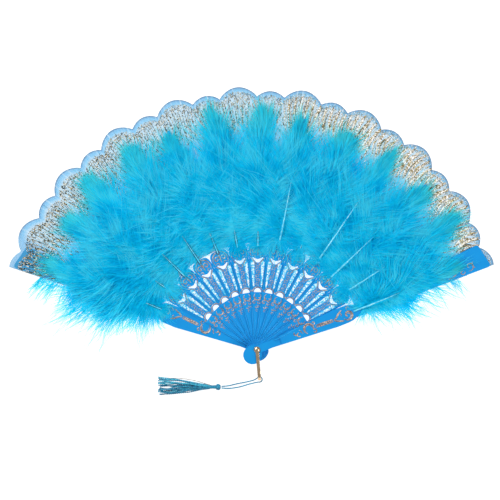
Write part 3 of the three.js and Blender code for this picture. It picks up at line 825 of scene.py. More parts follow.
    # Two plies twisted about each cord's line
    ply_radius = given["Ply Radius"]
    ply = add(tree, "GeometryNodeCurvePrimitiveCircle", {0: 5, 4: ply_radius}).outputs[0]
    normal = add(tree, "GeometryNodeInputNormal").outputs[0]
    tangent = add(tree, "GeometryNodeInputTangent").outputs[0]
    other = add(tree, "ShaderNodeVectorMath", {0: normal, 1: tangent}, operation="CROSS_PRODUCT").outputs[0]
    twist = add(tree, "ShaderNodeMath", {0: run, 1: given["Lay"]}, operation="DIVIDE").outputs[0]
    twist = add(tree, "ShaderNodeMath", {0: twist, 1: 2 * math.pi}, operation="MULTIPLY").outputs[0]
    joined = add(tree, "GeometryNodeJoinGeometry")
    for start in (0.0, math.pi):
        angle = add(tree, "ShaderNodeMath", {0: twist, 1: start}, operation="ADD").outputs[0]
        ways = []
        for way, wave in ((normal, "COSINE"), (other, "SINE")):
            out = add(tree, "ShaderNodeMath", {0: angle}, operation=wave).outputs[0]
            out = add(tree, "ShaderNodeMath", {0: out, 1: ply_radius}, operation="MULTIPLY").outputs[0]
            ways.append(add(tree, "ShaderNodeVectorMath", {0: way, 3: out}, operation="SCALE").outputs[0])
        off = add(tree, "ShaderNodeVectorMath", {0: ways[0], 1: ways[1]}, operation="ADD").outputs[0]
        strand = add(tree, "GeometryNodeSetPosition", {0: cords, 3: off}).outputs[0]
        strand = add(tree, "GeometryNodeCurveToMesh", {0: strand, 1: ply, 3: True}).outputs[0]
        tree.links.new(strand, joined.inputs[0])
    whole = add(tree, "GeometryNodeRealizeInstances", {0: joined.outputs[0]}).outputs[0]
    whole = add(tree, "GeometryNodeSetMaterial", {0: whole, 2: RAYON}).outputs[0]
    add(tree, "NodeGroupOutput", {"Geometry": whole})
    return tree


def tassel_skirt():
    """The bunch of twisted cords under the neck."""
    place = tassel_matrix() @ Matrix.Translation(Vector((SKIRT_START, 0, 0)) * MM)
    skirt = grown_piece("tassel_skirt_rayon", skirt_tree(), {"Seed": 5}, place)
    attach(skirt, "tassel")
    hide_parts("tassel_skirt")
    return skirt


def stray_thread():
    """One faded thread that has come away from the top of the skirt."""
    route = smooth_route(STRAY_ROUTE, 14)
    points, faces = tube(route, lambda share, angle: 0.3 + 0.06 * math.sin(2 * angle + 60 * share), 8)
    thread = new_piece("tassel_stray_thread", [p * MM for p in points], faces, FADED_RAYON)
    store_values(thread, "tone", [0.5] * len(points))
    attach(thread, "tassel")
    return thread


# Plastic sticks, rivet and bail


def eased_copy(name, node, edge, finish, body):
    """A copy of a CAD node with its edges rounded, in place of it."""
    shape = bmesh.new()
    shape.from_mesh(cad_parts[node].data)
    bmesh.ops.remove_doubles(shape, verts=shape.verts, dist=0.001 * MM)
    bmesh.ops.dissolve_limit(
        shape,
        angle_limit=math.radians(1.0),
        verts=shape.verts,
        edges=shape.edges,
        use_dissolve_boundaries=False,
    )
    mesh = bpy.data.meshes.new(name)
    shape.to_mesh(mesh)
    shape.free()
    mesh.materials.clear()
    mesh.materials.append(finish)
    copy = bpy.data.objects.new(name, mesh)
    bpy.context.scene.collection.objects.link(copy)
    round_edges = copy.modifiers.new("edges", "BEVEL")
    round_edges.width = edge * MM
    round_edges.segments = 2
    round_edges.limit_method = "ANGLE"
    round_edges.angle_limit = math.radians(40)
    settle(copy)
    # Level faces stay flat, and the rounded edges between them are smooth
    for face in copy.data.polygons:
        face.use_smooth = abs(face.normal.z) < 0.9999
    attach(copy, body)
    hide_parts(node)


def lathe(profile, sides):
    """Points and faces of a profile of (radius, height) turned about the z axis. Its ends are closed."""
    points = [
        (radius * math.cos(2 * math.pi * j / sides), radius * math.sin(2 * math.pi * j / sides), height)
        for radius, height in profile
        for j in range(sides)
    ]
    return points, ring_faces(len(profile), sides)


def rivet():
    """The pin with its domed head in front, and the plate that it is closed over behind."""
    shaft = [(1.3, 0.42), (1.3, 16.3), (2.1, 16.3), (2.28, 16.36)]
    dome = []
    for climb in range(10, 90, 10):
        angle = math.radians(climb)
        dome.append((2.3 * math.cos(angle), 16.45 + 0.95 * math.sin(angle)))
    plate = [(2.25, 0.0), (2.4, 0.06), (2.4, 0.29), (2.32, 0.35), (0.3, 0.35)]
    for node, profile in (("rivet", [*shaft, *dome, (0.15, 17.4)]), ("rivet_cap", plate)):
        points, faces = lathe(profile, 40)
        piece = new_piece(f"{node}_gold", [Vector(p) * MM for p in points], faces, GOLD)
        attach(piece, "back_guard")
        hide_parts(node)


# Gilt and glitter on the sticks


def arc(x, y, radius, start, end, steps=16):
    """Points of an arc between two angles, in degrees from +x."""
    angles = [math.radians(start + (end - start) * i / steps) for i in range(steps + 1)]
    return [(x + radius * math.cos(a), y + radius * math.sin(a)) for a in angles]


def curl(x, y, radius, inner, start, end, steps=22):
    """Points of a spiral that winds in from a radius to an inner one."""
    points = []
    for i in range(steps + 1):
        share = i / steps
        angle = math.radians(start + (end - start) * share)
        here = radius + (inner - radius) * share
        points.append((x + here * math.cos(angle), y + here * math.sin(angle)))
    return points


def smooth_line(points, steps=6):
    """Points of a smooth line through the given ones."""
    return [(p.x, p.y) for p in smooth_route([(x, y, 0.0) for x, y in points], steps)]


def both_sides(points, half_width):
    """A line of the given half width, and the same line mirrored across the stick's middle."""
    return [(points, half_width), ([(-x, y) for x, y in points], half_width)]


def raised_line(points, half_width, top, rise, to_place, store, taper=0.35):
    """A thin raised line, closed and with pointed ends. to_place turns x, y and z into a point in metres."""
    verts, faces = store
    count = len(points)
    first = len(verts)
    for i, (x, y) in enumerate(points):
        before, after = points[max(i - 1, 0)], points[min(i + 1, count - 1)]
        dx, dy = after[0] - before[0], after[1] - before[1]
        length = math.hypot(dx, dy) or 1.0
        here = half_width * max(math.sin(math.pi * i / (count - 1)), 0.02) ** taper
        side_x, side_y = -dy / length * here, dx / length * here
        verts.append(to_place(x + side_x, y + side_y, top))
        verts.append(to_place(x, y, top + rise))
        verts.append(to_place(x - side_x, y - side_y, top))
    for i in range(count - 1):
        a = first + 3 * i
        faces.append((a, a + 3, a + 4, a + 1))
        faces.append((a + 1, a + 4, a + 5, a + 2))
        faces.append((a + 2, a + 5, a + 3, a))
    last = first + 3 * (count - 1)
    faces.append((first, first + 1, first + 2))
    faces.append((last + 2, last + 1, last))


def inner_stick_gilding():
    """Scrollwork on an inner stick, as (points, half width). It is bold on the head and fine on the panel."""
    lines = [
        # Round the scroll head
        (arc(0, 84.6, 6.7, -38, 218, 34), 0.4),
        *both_sides(curl(3.0, 85.3, 2.7, 0.6, 205, -230, 26), 0.42),
        *both_sides(arc(3.6, 80.6, 1.3, 30, 250, 10), 0.3),
        ([(0, 81.4), (0.15, 83.6), (0, 86.0), (-0.1, 88.0), (0, 89.9)], 0.5),
        (arc(0, 88.4, 1.5, 20, 160, 8), 0.28),
        # Under the boomerang hole
        *both_sides([(0.0, 74.5), (1.9, 75.0), (3.5, 76.7), (5.1, 78.8), (6.4, 79.8)], 0.42),
        *both_sides([(0.4, 73.0), (1.8, 73.6), (2.9, 74.8)], 0.26),
    ]
    # The chain of scrolls down the panel
    for i in range(5):
        side = 1 if i % 2 else -1
        y = 56.6 + 3.7 * i
        lines.append((curl(side * 0.5, y, 1.75, 0.45, 90 + side * 150, 90 - side * 280, 18), 0.24))
        lines.append((arc(-side * 1.5, y + 1.9, 0.75, 0, 300, 9), 0.16))
    lines += [
        # Over the half moon
        (arc(0, 49.9, 4.3, 14, 166, 18), 0.42),
        *both_sides(curl(4.5, 50.7, 0.95, 0.35, 250, -120, 12), 0.32),
        # The ring and the small scrolls below it
        (arc(0, 46.0, 3.0, -236, 56, 24), 0.42),
        *both_sides(arc(1.5, 43.9, 1.2, -60, 130, 8), 0.3),
        (curl(1.0, 40.6, 1.8, 0.55, 130, -250, 20), 0.33),
        (curl(-2.7, 41.2, 1.7, 0.5, 50, 420, 20), 0.33),
        (curl(-1.2, 37.1, 1.5, 0.45, 80, -230, 16), 0.3),
        (arc(1.4, 36.9, 0.8, -20, 250, 8), 0.24),
        (arc(-0.4, 34.0, 0.9, 10, 300, 8), 0.24),
    ]
    return lines


def rope_strand(start):
    """One of the two twisted strands of the rope up a guard's gorge. start is its turn, in radians."""
    swing, foot, step = 1.15, 54.8, 0.31
    return [
        (swing * math.sin(start + 2 * math.pi * i / 12) + 0.05 * i / 3, foot + step * i) for i in range(53)
    ]


def guard_gilding():
    """Larger scrollwork on a guard's gorge and on the end of its blade, as (points, half width)."""
    return [
        # A small scroll, and the open ring above it
        (arc(-0.6, 36.3, 1.5, -150, 60, 12), 0.5),
        (arc(1.5, 38.6, 1.6, -200, 40, 12), 0.5),
        ([(-2.4, 39.8), (-1.2, 41.0), (0.4, 41.4), (1.8, 42.4)], 0.4),
        (arc(-0.4, 48.4, 4.3, 52, 330, 30), 0.62),
        (arc(-0.4, 48.4, 3.1, 70, 300, 24), 0.3),
        (curl(3.4, 52.6, 2.0, 0.7, 210, -110, 16), 0.5),
        (curl(-3.6, 53.6, 1.5, 0.6, -30, 270, 14), 0.4),
        (rope_strand(0.0), 0.5),
        (rope_strand(math.pi), 0.5),
        # A fork, and the large scroll on the shoulder
        (smooth_line([(0.9, 71.4), (-0.4, 74.0), (-3.2, 77.4), (-4.8, 80.6)]), 0.6),
        (smooth_line([(0.9, 71.4), (2.4, 73.4), (3.8, 76.8), (4.8, 79.6)]), 0.6),
        (arc(-1.6, 77.2, 1.7, 30, 280, 14), 0.4),
        (curl(0.9, 84.6, 5.0, 1.3, -70, 330, 40), 0.66),
        (curl(0.9, 84.6, 3.6, 0.8, -40, 200, 22), 0.34),
        (arc(-4.6, 86.0, 1.3, 60, 330, 12), 0.36),
        # The scroll on the blade, and the stems that lead to it
        (curl(0.7, 197.6, 4.2, 1.0, -30, 330, 32), 0.45),
        (curl(3.4, 190.2, 2.4, 0.8, 100, -220, 20), 0.36),
        (curl(-3.4, 188.6, 2.4, 0.8, 80, 400, 20), 0.36),
        (smooth_line([(4.8, 176.0), (4.0, 182.0), (1.4, 187.4), (0.4, 193.4)]), 0.4),
        (smooth_line([(-4.2, 174.0), (-2.6, 180.0), (-1.6, 184.0), (0.0, 187.0)]), 0.3),
        (arc(0.6, 203.8, 3.4, 210, 330, 12), 0.34),
    ]


# The two bands of glitter on an inner stick's panel: where they run, how wide they are at their foot, how
# much they widen, and how far they stand back from the edge of the stick's room
GLITTER_START = 54.0
GLITTER_END = 77.0
GLITTER_WIDTH = 1.5
GLITTER_GROWTH = 2.2
GLITTER_MARGIN = 1.2


def glitter_stripes(store, to_place):
    """The bands of glitter glue along a stick's panel. They widen outwards, and are lumpy with flakes."""
    verts, faces = store
    steps, lanes = 36, 5
    for side in (-1, 1):
        first = len(verts)
        for i in range(steps + 1):
            share = i / steps
            y = GLITTER_START + (GLITTER_END - GLITTER_START) * share
            width = GLITTER_WIDTH + GLITTER_GROWTH * share
            full = width * min(1.0, 0.3 + 0.35 * min(i, steps - i))
            middle = side * (y * HALF_ROOM - GLITTER_MARGIN - width / 2)
            for j in range(lanes + 1):
                edge = j in (0, lanes)
                x = middle + full * (j / lanes - 0.5) + random.uniform(-0.1, 0.1)
                verts.append(to_place(x, y, STICK_TOP + (-0.02 if edge else random.uniform(0.01, 0.12))))
        for i in range(steps):
            a = first + (lanes + 1) * i
            for j in range(lanes):
                faces.append((a + j + 1, a + j, a + lanes + 1 + j, a + lanes + 2 + j))
            faces.append((a, a + lanes, a + 2 * lanes + 1, a + lanes + 1))
        faces.append(tuple(first + j for j in range(lanes + 1)))
        last = first + (lanes + 1) * steps
        faces.append(tuple(last + lanes - j for j in range(lanes + 1)))


def moulded_ridges():
    """Low ridges moulded along an inner stick's edges and beside its glitter, as (points, half width). They
    are drawn in a lighter plastic, a painted highlight.
    """
    ridges = both_sides([(2.9, 9.0), (3.35, 20.0), (5.45, 48.0)], 0.24)
    ridges += both_sides([(1.0, 10.0), (1.3, 20.0), (2.2, 35.0)], 0.18)
    outer, inner = [], []
    for y in (53.5, 61.0, 69.0, 77.0):
        grown = GLITTER_GROWTH * (y - GLITTER_START) / (GLITTER_END - GLITTER_START)
        outer.append((y * HALF_ROOM - 1.0, y))
        inner.append((y * HALF_ROOM - 2.95 - grown, y))
    return ridges + both_sides(outer, 0.24) + both_sides(inner, 0.24)


def painted_shade_lines():
    """Thin dark lines of painted shade beside the ridges of an inner stick and down its middle, as (points,
    half width).
    """
    lines = both_sides([(2.4, 9.0), (2.8, 20.0), (4.95, 48.0)], 0.2)
    lines.append(([(0.0, 10.0), (0.0, 36.0)], 0.18))
    return lines + both_sides([(y * HALF_ROOM - 0.6, y) for y in (52.0, 64.0, 76.5)], 0.17)


def gild_stick(k):
    """Gilt scrolls on the stick in place k, with a rib on a guard, or ridges, thin dark lines of painted
    shade and glitter on an inner stick. The rib and the ridges are in a lighter plastic, a painted highlight."""
    body = stick_name(k)
    place = stick_place(k)
    guard = k in (0, LAST_PLACE)
    top = (GUARD_TOP if guard else STICK_TOP) - 0.02

    def to_place(x, y, z):
        return place @ (Vector((x, y, z)) * MM)

    def drawn(lines, rise, bolder=1.0, taper=0.05):
        store = ([], [])
        for points, half_width in lines:
            raised_line(points, half_width * bolder, top, rise, to_place, store, taper)
        return store

    # The scrolls are drawn bolder than they are, so that they show
    gilding = guard_gilding() if guard else inner_stick_gilding()
    layers = [("gilding", GILT, drawn(gilding, 0.12, 1.45, 0.35))]
    if guard:
        # A low rib along the guard's inner edge, which catches the light, in a lighter plastic that paints a
        # highlight on it
        inner = 1 if k == 0 else -1
        rib = smooth_line([(inner * x, y) for x, y in ((2.2, 16.5), (2.6, 27.0), (4.2, 36.0), (5.0, 46.0))])
        layers.append(("rib", HIGHLIGHT_PLASTIC, drawn([(rib, 0.3)], 0.2)))
    else:
        # The ridges are in a lighter plastic, a painted highlight
        layers.append(("ridges", HIGHLIGHT_PLASTIC, drawn(moulded_ridges(), 0.24)))
        # Thin dark lines of painted shade, raised only a little
        layers.append(("painted_shade", SHADE_PLASTIC, drawn(painted_shade_lines(), 0.05)))
        bands = ([], [])
        glitter_stripes(bands, to_place)
        layers.append(("glitter", SILVER_GLITTER, bands))
    for name, finish, store in layers:
        piece = new_piece(f"{body}_{name}", *store, finish)
        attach(piece, body)


# The leaf

# The radius of the scalloped edge between its lobes, and the width in degrees and the height of each lobe
CUSP_RADIUS = 219.5
WIDE_LOBE = (8.5, 9.0)
NARROW_LOBE = (6.25, 5.2)
FIRST_LOBE = -68.0

# How far the edge falls in at the front guard, and stands out at the back guard
EDGE_FALL = 9.5
EDGE_RISE = 2.6

# How far the cloth is wrapped round each guard, in degrees
LEFT_FLAP = 4.3
RIGHT_FLAP = 1.9

# The cloth is loose from this radius on, and fully so this much further out
LOOSE_START = 196.0
LOOSE_REACH = 25.0

CLOTH_THICKNESS = 0.2


def leaf_radius(angle):
    """Radius of the scalloped edge at an angle, with wide and narrow lobes in turn."""
    pair = WIDE_LOBE[0] + NARROW_LOBE[0]
    place = (angle - FIRST_LOBE) % pair
    if place < WIDE_LOBE[0]:
        share, height = place / WIDE_LOBE[0], WIDE_LOBE[1]
    else:
        share, height = (place - WIDE_LOBE[0]) / NARROW_LOBE[0], NARROW_LOBE[1]
    fall = EDGE_FALL * (max(angle, 0.0) / turn_of(LAST_PLACE)) ** 3
    rise = EDGE_RISE * (max(-angle, 0.0) / turn_of(LAST_PLACE)) ** 4
    return CUSP_RADIUS - fall + rise + height * math.sin(math.pi * share) ** 0.75


def leaf_height(k, angle, radius):
    """Height of the cloth between sticks k - 1 and k. It climbs from rib to rib with a low pleat between
    them, and its free edge waves a little."""
    share = min(max((angle - turn_of(k - 1)) / STICK_PITCH, 0.0), 1.0)
    low = BACK_LEAF_TOP if k == 1 else level_of(k - 1) + LEAF_TOP
    high = level_of(k) + LEAF_TOP
    climb = low + (high - low) * share * share * (3 - 2 * share)
    pleat = 0.3 * math.sin(math.pi * share) ** 4
    loose = min(max((radius - LOOSE_START) / LOOSE_REACH, 0.0), 1.0) ** 2
    wave = 0.5 * math.sin(math.radians(angle * 24)) - 0.1
    return climb + pleat + loose * wave * math.sin(math.pi * share)


def on_leaf(k, angle, radius, above=0.0):
    """A point of the cloth between sticks k - 1 and k, or some way above it, in metres."""
    turn = math.radians(angle)
    height = leaf_height(k, angle, radius) + above
    return Vector((radius * math.sin(turn), radius * math.cos(turn), height)) * MM


def leaf_panel(k):
    """The cloth between sticks k - 1 and k."""
    left = turn_of(k - 1) - (LEFT_FLAP if k == 1 else 0.0)
    right = turn_of(k) + (RIGHT_FLAP if k == LAST_PLACE else 0.0)
    columns, rows = 44, 30
    points, faces, rims, reaches, turns = [], [], [], [], []
    for i in range(columns + 1):
        angle = left + (right - left) * i / columns
        edge = leaf_radius(angle)
        for j in range(rows + 1):
            radius = LEAF_START + (edge - LEAF_START) * (j / rows) ** 0.8
            points.append(on_leaf(k, angle, radius))
            rims.append(edge - radius)
            reaches.append(radius)
            turns.append(angle)
    for i in range(columns):
        for j in range(rows):
            a = i * (rows + 1) + j
            faces.append((a, a + rows + 1, a + rows + 2, a + 1))
    panel = new_piece(f"leaf_cloth_{k:02d}", points, faces, CLOTH)
    for name, values in (("rim", rims), ("reach", reaches), ("turn", turns)):
        store_values(panel, name, values)
    area = sum(face.area for face in panel.data.polygons)
    thickness = panel.modifiers.new("cloth", "SOLIDIFY")
    thickness.thickness = CLOTH_THICKNESS * MM
    thickness.offset = -1.0
    settle(panel)
    return panel, area, right - left


class Lobe:
    """One lobe of the leaf's edge, with the lines of glitter in it as (points, half width, pale). A point is
    drawn as its distance across from the lobe's middle and its radius, and kept as an angle and a radius."""

    def __init__(self, middle, width, wide):
        self.middle = middle
        self.half = math.radians(width / 2)
        self.wide = wide
        self.lines = []
        # The glitter stands back from the rim on the left and comes close to it on the right
        leftness = min(max((-middle - 20.0) / 40.0, 0.0), 1.0)
        self.rightness = min(max((middle + 15.0) / 50.0, 0.0), 1.0)
        self.inset = 4.6 + 3.2 * leftness - 2.6 * self.rightness
        self.crown = leaf_radius(middle) - self.inset

    def edge(self, x, y):
        """The radius that the glitter reaches, in the direction of a point."""
        return leaf_radius(self.middle + math.degrees(x / y)) - self.inset

    def line(self, points, width, pale=None):
        """A line that is pale, dark, or else left to chance, which makes more of them pale on the right."""
        if pale is None:
            pale = random.random() < 0.15 + 0.75 * self.rightness
        self.lines.append(([(self.middle + math.degrees(x / y), y) for x, y in points], width, pale))

    def stroke(self, x, y, turn, long, steps, width):
        """A short line that leaves a point outwards and turns off to one side."""
        shares = [i / steps for i in range(steps + 1)]
        self.line([(x + turn * long * t * t, y + long * t) for t in shares], width)


def lobes():
    """The lobes of the leaf's edge, wide and narrow in turn, from the back guard to the front one."""
    found = []
    start = FIRST_LOBE - NARROW_LOBE[0]
    wide = False
    while start < turn_of(LAST_PLACE) + RIGHT_FLAP:
        width = WIDE_LOBE[0] if wide else NARROW_LOBE[0]
        found.append(Lobe(start + width / 2, width, wide))
        start += width
        wide = not wide
    return found


def petals(lobe):
    """Petals that fan out from the foot of the lobe: narrow loops with a stem and a bead on the left, and
    broad bands of flakes on the right."""
    count, long = (6, 25.0) if lobe.wide else (4, 19.0)
    pitch = 2 * lobe.half * lobe.crown / count
    lean = 0.1 - 0.45 * lobe.rightness
    shares = [j / 9 for j in range(10)]
    for i in range(count):
        x = (i - (count - 1) / 2) * pitch
        top = lobe.crown - 2.6 - 0.026 * x * x
        bottom = top - long - random.uniform(0.0, 4.0)

        def bent(across, t):
            return x * (0.7 + 0.3 * t) + across + lean * 9 * math.sin(math.pi * t * 0.85)

        loop = []
        for j in range(27):
            t = 2 * math.pi * j / 26
            up = 0.5 + 0.5 * math.cos(t)
            across = pitch * 0.36 * math.sin(t) * (0.25 + 0.75 * up)
            loop.append((bent(across, up), bottom + (top - bottom) * up))
        lobe.line(loop, 0.2)
        stem = [(bent(0.0, t), bottom + (top - bottom) * 0.8 * t) for t in shares]
        lobe.line(stem, 0.18 + 0.5 * lobe.rightness)
        lobe.line(arc(x * 0.97, top - 3.0, 0.8, 0, 330, 8), 0.28)
        if lobe.rightness > 0.4:
            band = [(bent(pitch * 0.5, t), bottom + (top + 1.5 - bottom) * t) for t in shares]
            lobe.line(band, 1.0, True)


def border(lobe):
    """Two rows of small rings and curls along the edge of the glitter."""
    reach = lobe.half * lobe.crown * 0.97
    count = int(reach * 2 / 1.9)
    for row in range(2):
        for i in range(count + 1):
            x = -reach + 2 * reach * i / count + random.uniform(-0.3, 0.3)
            edge = min(lobe.edge(x, lobe.crown), lobe.crown)
            y = edge - 0.4 - row * 2.3 + random.uniform(-0.4, 0.4)
            if random.random() < 0.55:
                lobe.line(arc(x, y, random.uniform(0.5, 0.85), 0, 330, 8), 0.18)
            else:
                lobe.line(curl(x, y, 1.15, 0.35, random.uniform(0, 360), random.uniform(420, 560), 9), 0.2)


def ground(lobe):
    """Curls and short strokes all over the cloth between the petals, fewer of them on the right."""
    for i in range(int((310 if lobe.wide else 215) * (1.0 - 0.55 * lobe.rightness))):
        y = lobe.crown - 1.5 - 36.0 * random.random() ** 1.15
        x = random.uniform(-1, 1) * lobe.half * y
        if y >= lobe.edge(x, y):
            continue
        if random.random() < 0.5:
            size = random.uniform(0.5, 0.95)
            start = random.uniform(0, 360)
            end = start + random.choice((-1, 1)) * random.uniform(200, 340)
            lobe.line(curl(x, y, size, 0.25, start, end, 8), 0.19)
        else:
            lobe.stroke(x, y, random.uniform(-0.6, 0.6), random.uniform(1.4, 3.2), 4, 0.2)


def sprays(lobe):
    """Strokes at the foot of the lobe, half hidden by the feathers."""
    for i in range(26 if lobe.wide else 19):
        y = lobe.crown - 26 - 20 * random.random() ** 1.3
        x = random.uniform(-1, 1) * lobe.half * y
        lobe.stroke(x, y, random.uniform(-0.5, 0.5), random.uniform(2.0, 4.5), 5, 0.3)


def leaf():
    """Twelve panels of cloth between the ribs, each with its share of the embroidery. The lines of glitter
    keep off the leaf's two side edges and lie just above the cloth."""
    side_margin, gap = 0.3, 0.01
    drawn = {(k, pale): ([], []) for k in range(1, LAST_PLACE + 1) for pale in (False, True)}
    first = turn_of(0) - LEFT_FLAP + side_margin
    last = turn_of(LAST_PLACE) + RIGHT_FLAP - side_margin
    for lobe in lobes():
        for embroider in (petals, border, ground, sprays):
            embroider(lobe)
        for points, width, pale in lobe.lines:
            angle = sum(p[0] for p in points) / len(points)
            if not first < angle < last:
                continue
            k = min(max(math.ceil((angle - turn_of(0)) / STICK_PITCH), 1), LAST_PLACE)

            def to_place(x, y, z):
                return on_leaf(k, math.degrees(x / y), y, z + gap)

            flat = [(math.radians(a) * r, r) for a, r in points]
            raised_line(flat, width, 0.0, 0.14, to_place, drawn[k, pale], 0.15)
    for k in range(1, LAST_PLACE + 1):
        panel, area, spread = leaf_panel(k)
        stitched = new_piece(f"leaf_glitter_{k:02d}", *drawn[k, False], DARK_GLITTER)
        gilded = new_piece(f"leaf_pale_glitter_{k:02d}", *drawn[k, True], PALE_GLITTER)
        start, end = on_leaf(k, turn_of(k - 1), LEAF_START + 2), on_leaf(k, turn_of(k), LEAF_START + 2)
        for piece in (panel, stitched, gilded):
            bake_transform(piece)
            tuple(start)
            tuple(end)
        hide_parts(f"leaf_panel_{k:02d}")


# The feathers


def sideways(tree, given, y):
    """How far the bowed quill stands to one side, at a distance along it."""
    part = add(tree, "ShaderNodeMath", {0: y, 1: given["Quill Length"]}, operation="DIVIDE").outputs[0]
    part = add(tree, "ShaderNodeMath", {0: part, 1: 2.0}, operation="POWER").outputs[0]
    return add(tree, "ShaderNodeMath", {0: part, 1: given["Bow"]}, operation="MULTIPLY").outputs[0]


def barb_roots(tree, given, seeds):
    """Where each barb grows: its share of the quill, its side, -1 for left and 1 for right, and its distance
    along the quill."""
    share = add(tree, "FunctionNodeRandomValue", {2: 0.0, 3: 1.0, 8: seeds[0]}).outputs[1]
    share = add(tree, "ShaderNodeMath", {0: share, 1: given["Crowding"]}, operation="POWER").outputs[0]
    left = add(
        tree, "FunctionNodeRandomValue", {6: given["Left Share"], 8: seeds[1]}, data_type="BOOLEAN"
    ).outputs[3]
    side = add(tree, "ShaderNodeMath", {0: left, 1: -2.0, 2: 1.0}, operation="MULTIPLY_ADD").outputs[0]
    root = add(
        tree, "ShaderNodeMapRange", {0: share, 3: given["Bare Length"], 4: given["Quill Length"]}
    ).outputs[0]
    return share, side, root


def barb_turns(tree, given, seeds, share, side, root):
    """Where a barb grows at all, and which way it points. Neighbours lean together, which parts the down
    into tufts. The two sides are far apart in the noise, so that each has tufts of its own."""
    tuft_x = add(tree, "ShaderNodeMath", {0: root, 1: given["Tufts"]}, operation="MULTIPLY").outputs[0]
    tuft_y = add(tree, "ShaderNodeMath", {0: side, 1: 7.3}, operation="MULTIPLY").outputs[0]
    tuft_at = add(tree, "ShaderNodeCombineXYZ", {0: tuft_x, 1: tuft_y, 2: given["Seed"]}).outputs[0]
    tuft = add(tree, "ShaderNodeTexNoise", {"Vector": tuft_at, "Scale": 1.0, "Detail": 1.0}).outputs["Fac"]
    grown = add(tree, "ShaderNodeMath", {0: tuft, 1: given["Gaps"]}, operation="GREATER_THAN").outputs[0]
    spread = add(tree, "ShaderNodeMapRange", {0: share, 1: 0.65, 3: 1.5, 4: 0.35}).outputs[0]
    tuft = add(tree, "ShaderNodeMath", {0: tuft, 1: -2.0, 2: 1.0}, operation="MULTIPLY_ADD").outputs[0]
    tuft = add(tree, "ShaderNodeMath", {0: tuft, 1: spread}, operation="MULTIPLY").outputs[0]
    stray = add(tree, "FunctionNodeRandomValue", {2: -1.0, 3: 1.0, 8: seeds[2]}).outputs[1]
    stray = add(tree, "ShaderNodeMath", {0: stray, 1: given["Stray"]}, operation="MULTIPLY").outputs[0]
    fluff = add(tree, "ShaderNodeMapRange", {0: share, 2: 0.11, 3: given["Fluff Angle"], 4: 0.0}).outputs[0]
    angle = add(
        tree, "ShaderNodeMapRange", {0: share, 3: given["Root Angle"], 4: given["Tip Angle"]}
    ).outputs[0]
    for more in (fluff, tuft, stray):
        angle = add(tree, "ShaderNodeMath", {0: angle, 1: more}, operation="ADD").outputs[0]
    for factor in (side, -1.0):
        angle = add(tree, "ShaderNodeMath", {0: angle, 1: factor}, operation="MULTIPLY").outputs[0]
    lift = add(tree, "FunctionNodeRandomValue", {2: -0.05, 3: given["Loft"], 8: seeds[3]}).outputs[1]
    return grown, add(tree, "ShaderNodeCombineXYZ", {0: lift, 2: angle}).outputs[0]


def barb_lengths(tree, given, seeds, share, side):
    """How long each barb is: longest by the plume's middle, uneven, and a few of them wisps."""
    long = add(tree, "ShaderNodeFloatCurve", {1: share})
    set_curve(long, [(0.0, 0.42), (0.12, 0.5), (0.25, 0.64), (0.48, 0.76), (0.7, 0.52), (1.0, 0.3)])
    long = long.outputs[0]
    luck = add(tree, "FunctionNodeRandomValue", {2: 0.0, 3: 1.0, 8: seeds[4]}).outputs[1]
    uneven = add(tree, "ShaderNodeFloatCurve", {1: luck})
    set_curve(uneven, [(0.0, 0.28), (0.5, 0.5), (0.85, 0.68), (0.96, 0.8), (1.0, 1.0)])
    reach = {0: side, 1: -1.0, 2: 1.0, 3: 1.0, 4: given["Right Reach"]}
    reach = add(tree, "ShaderNodeMapRange", reach).outputs[0]
    wisp = {0: luck, 1: given["Wisps From"], 2: 1.0, 3: 1.0, 4: given["Wisp Length"]}
    wisp = add(tree, "ShaderNodeMapRange", wisp).outputs[0]
    # The two curves multiply to about a half, so this makes Barb Length the length of a long barb
    full_length = 2.05
    for factor in (uneven.outputs[0], full_length, given["Barb Length"], reach, wisp):
        long = add(tree, "ShaderNodeMath", {0: long, 1: factor}, operation="MULTIPLY").outputs[0]
    return long


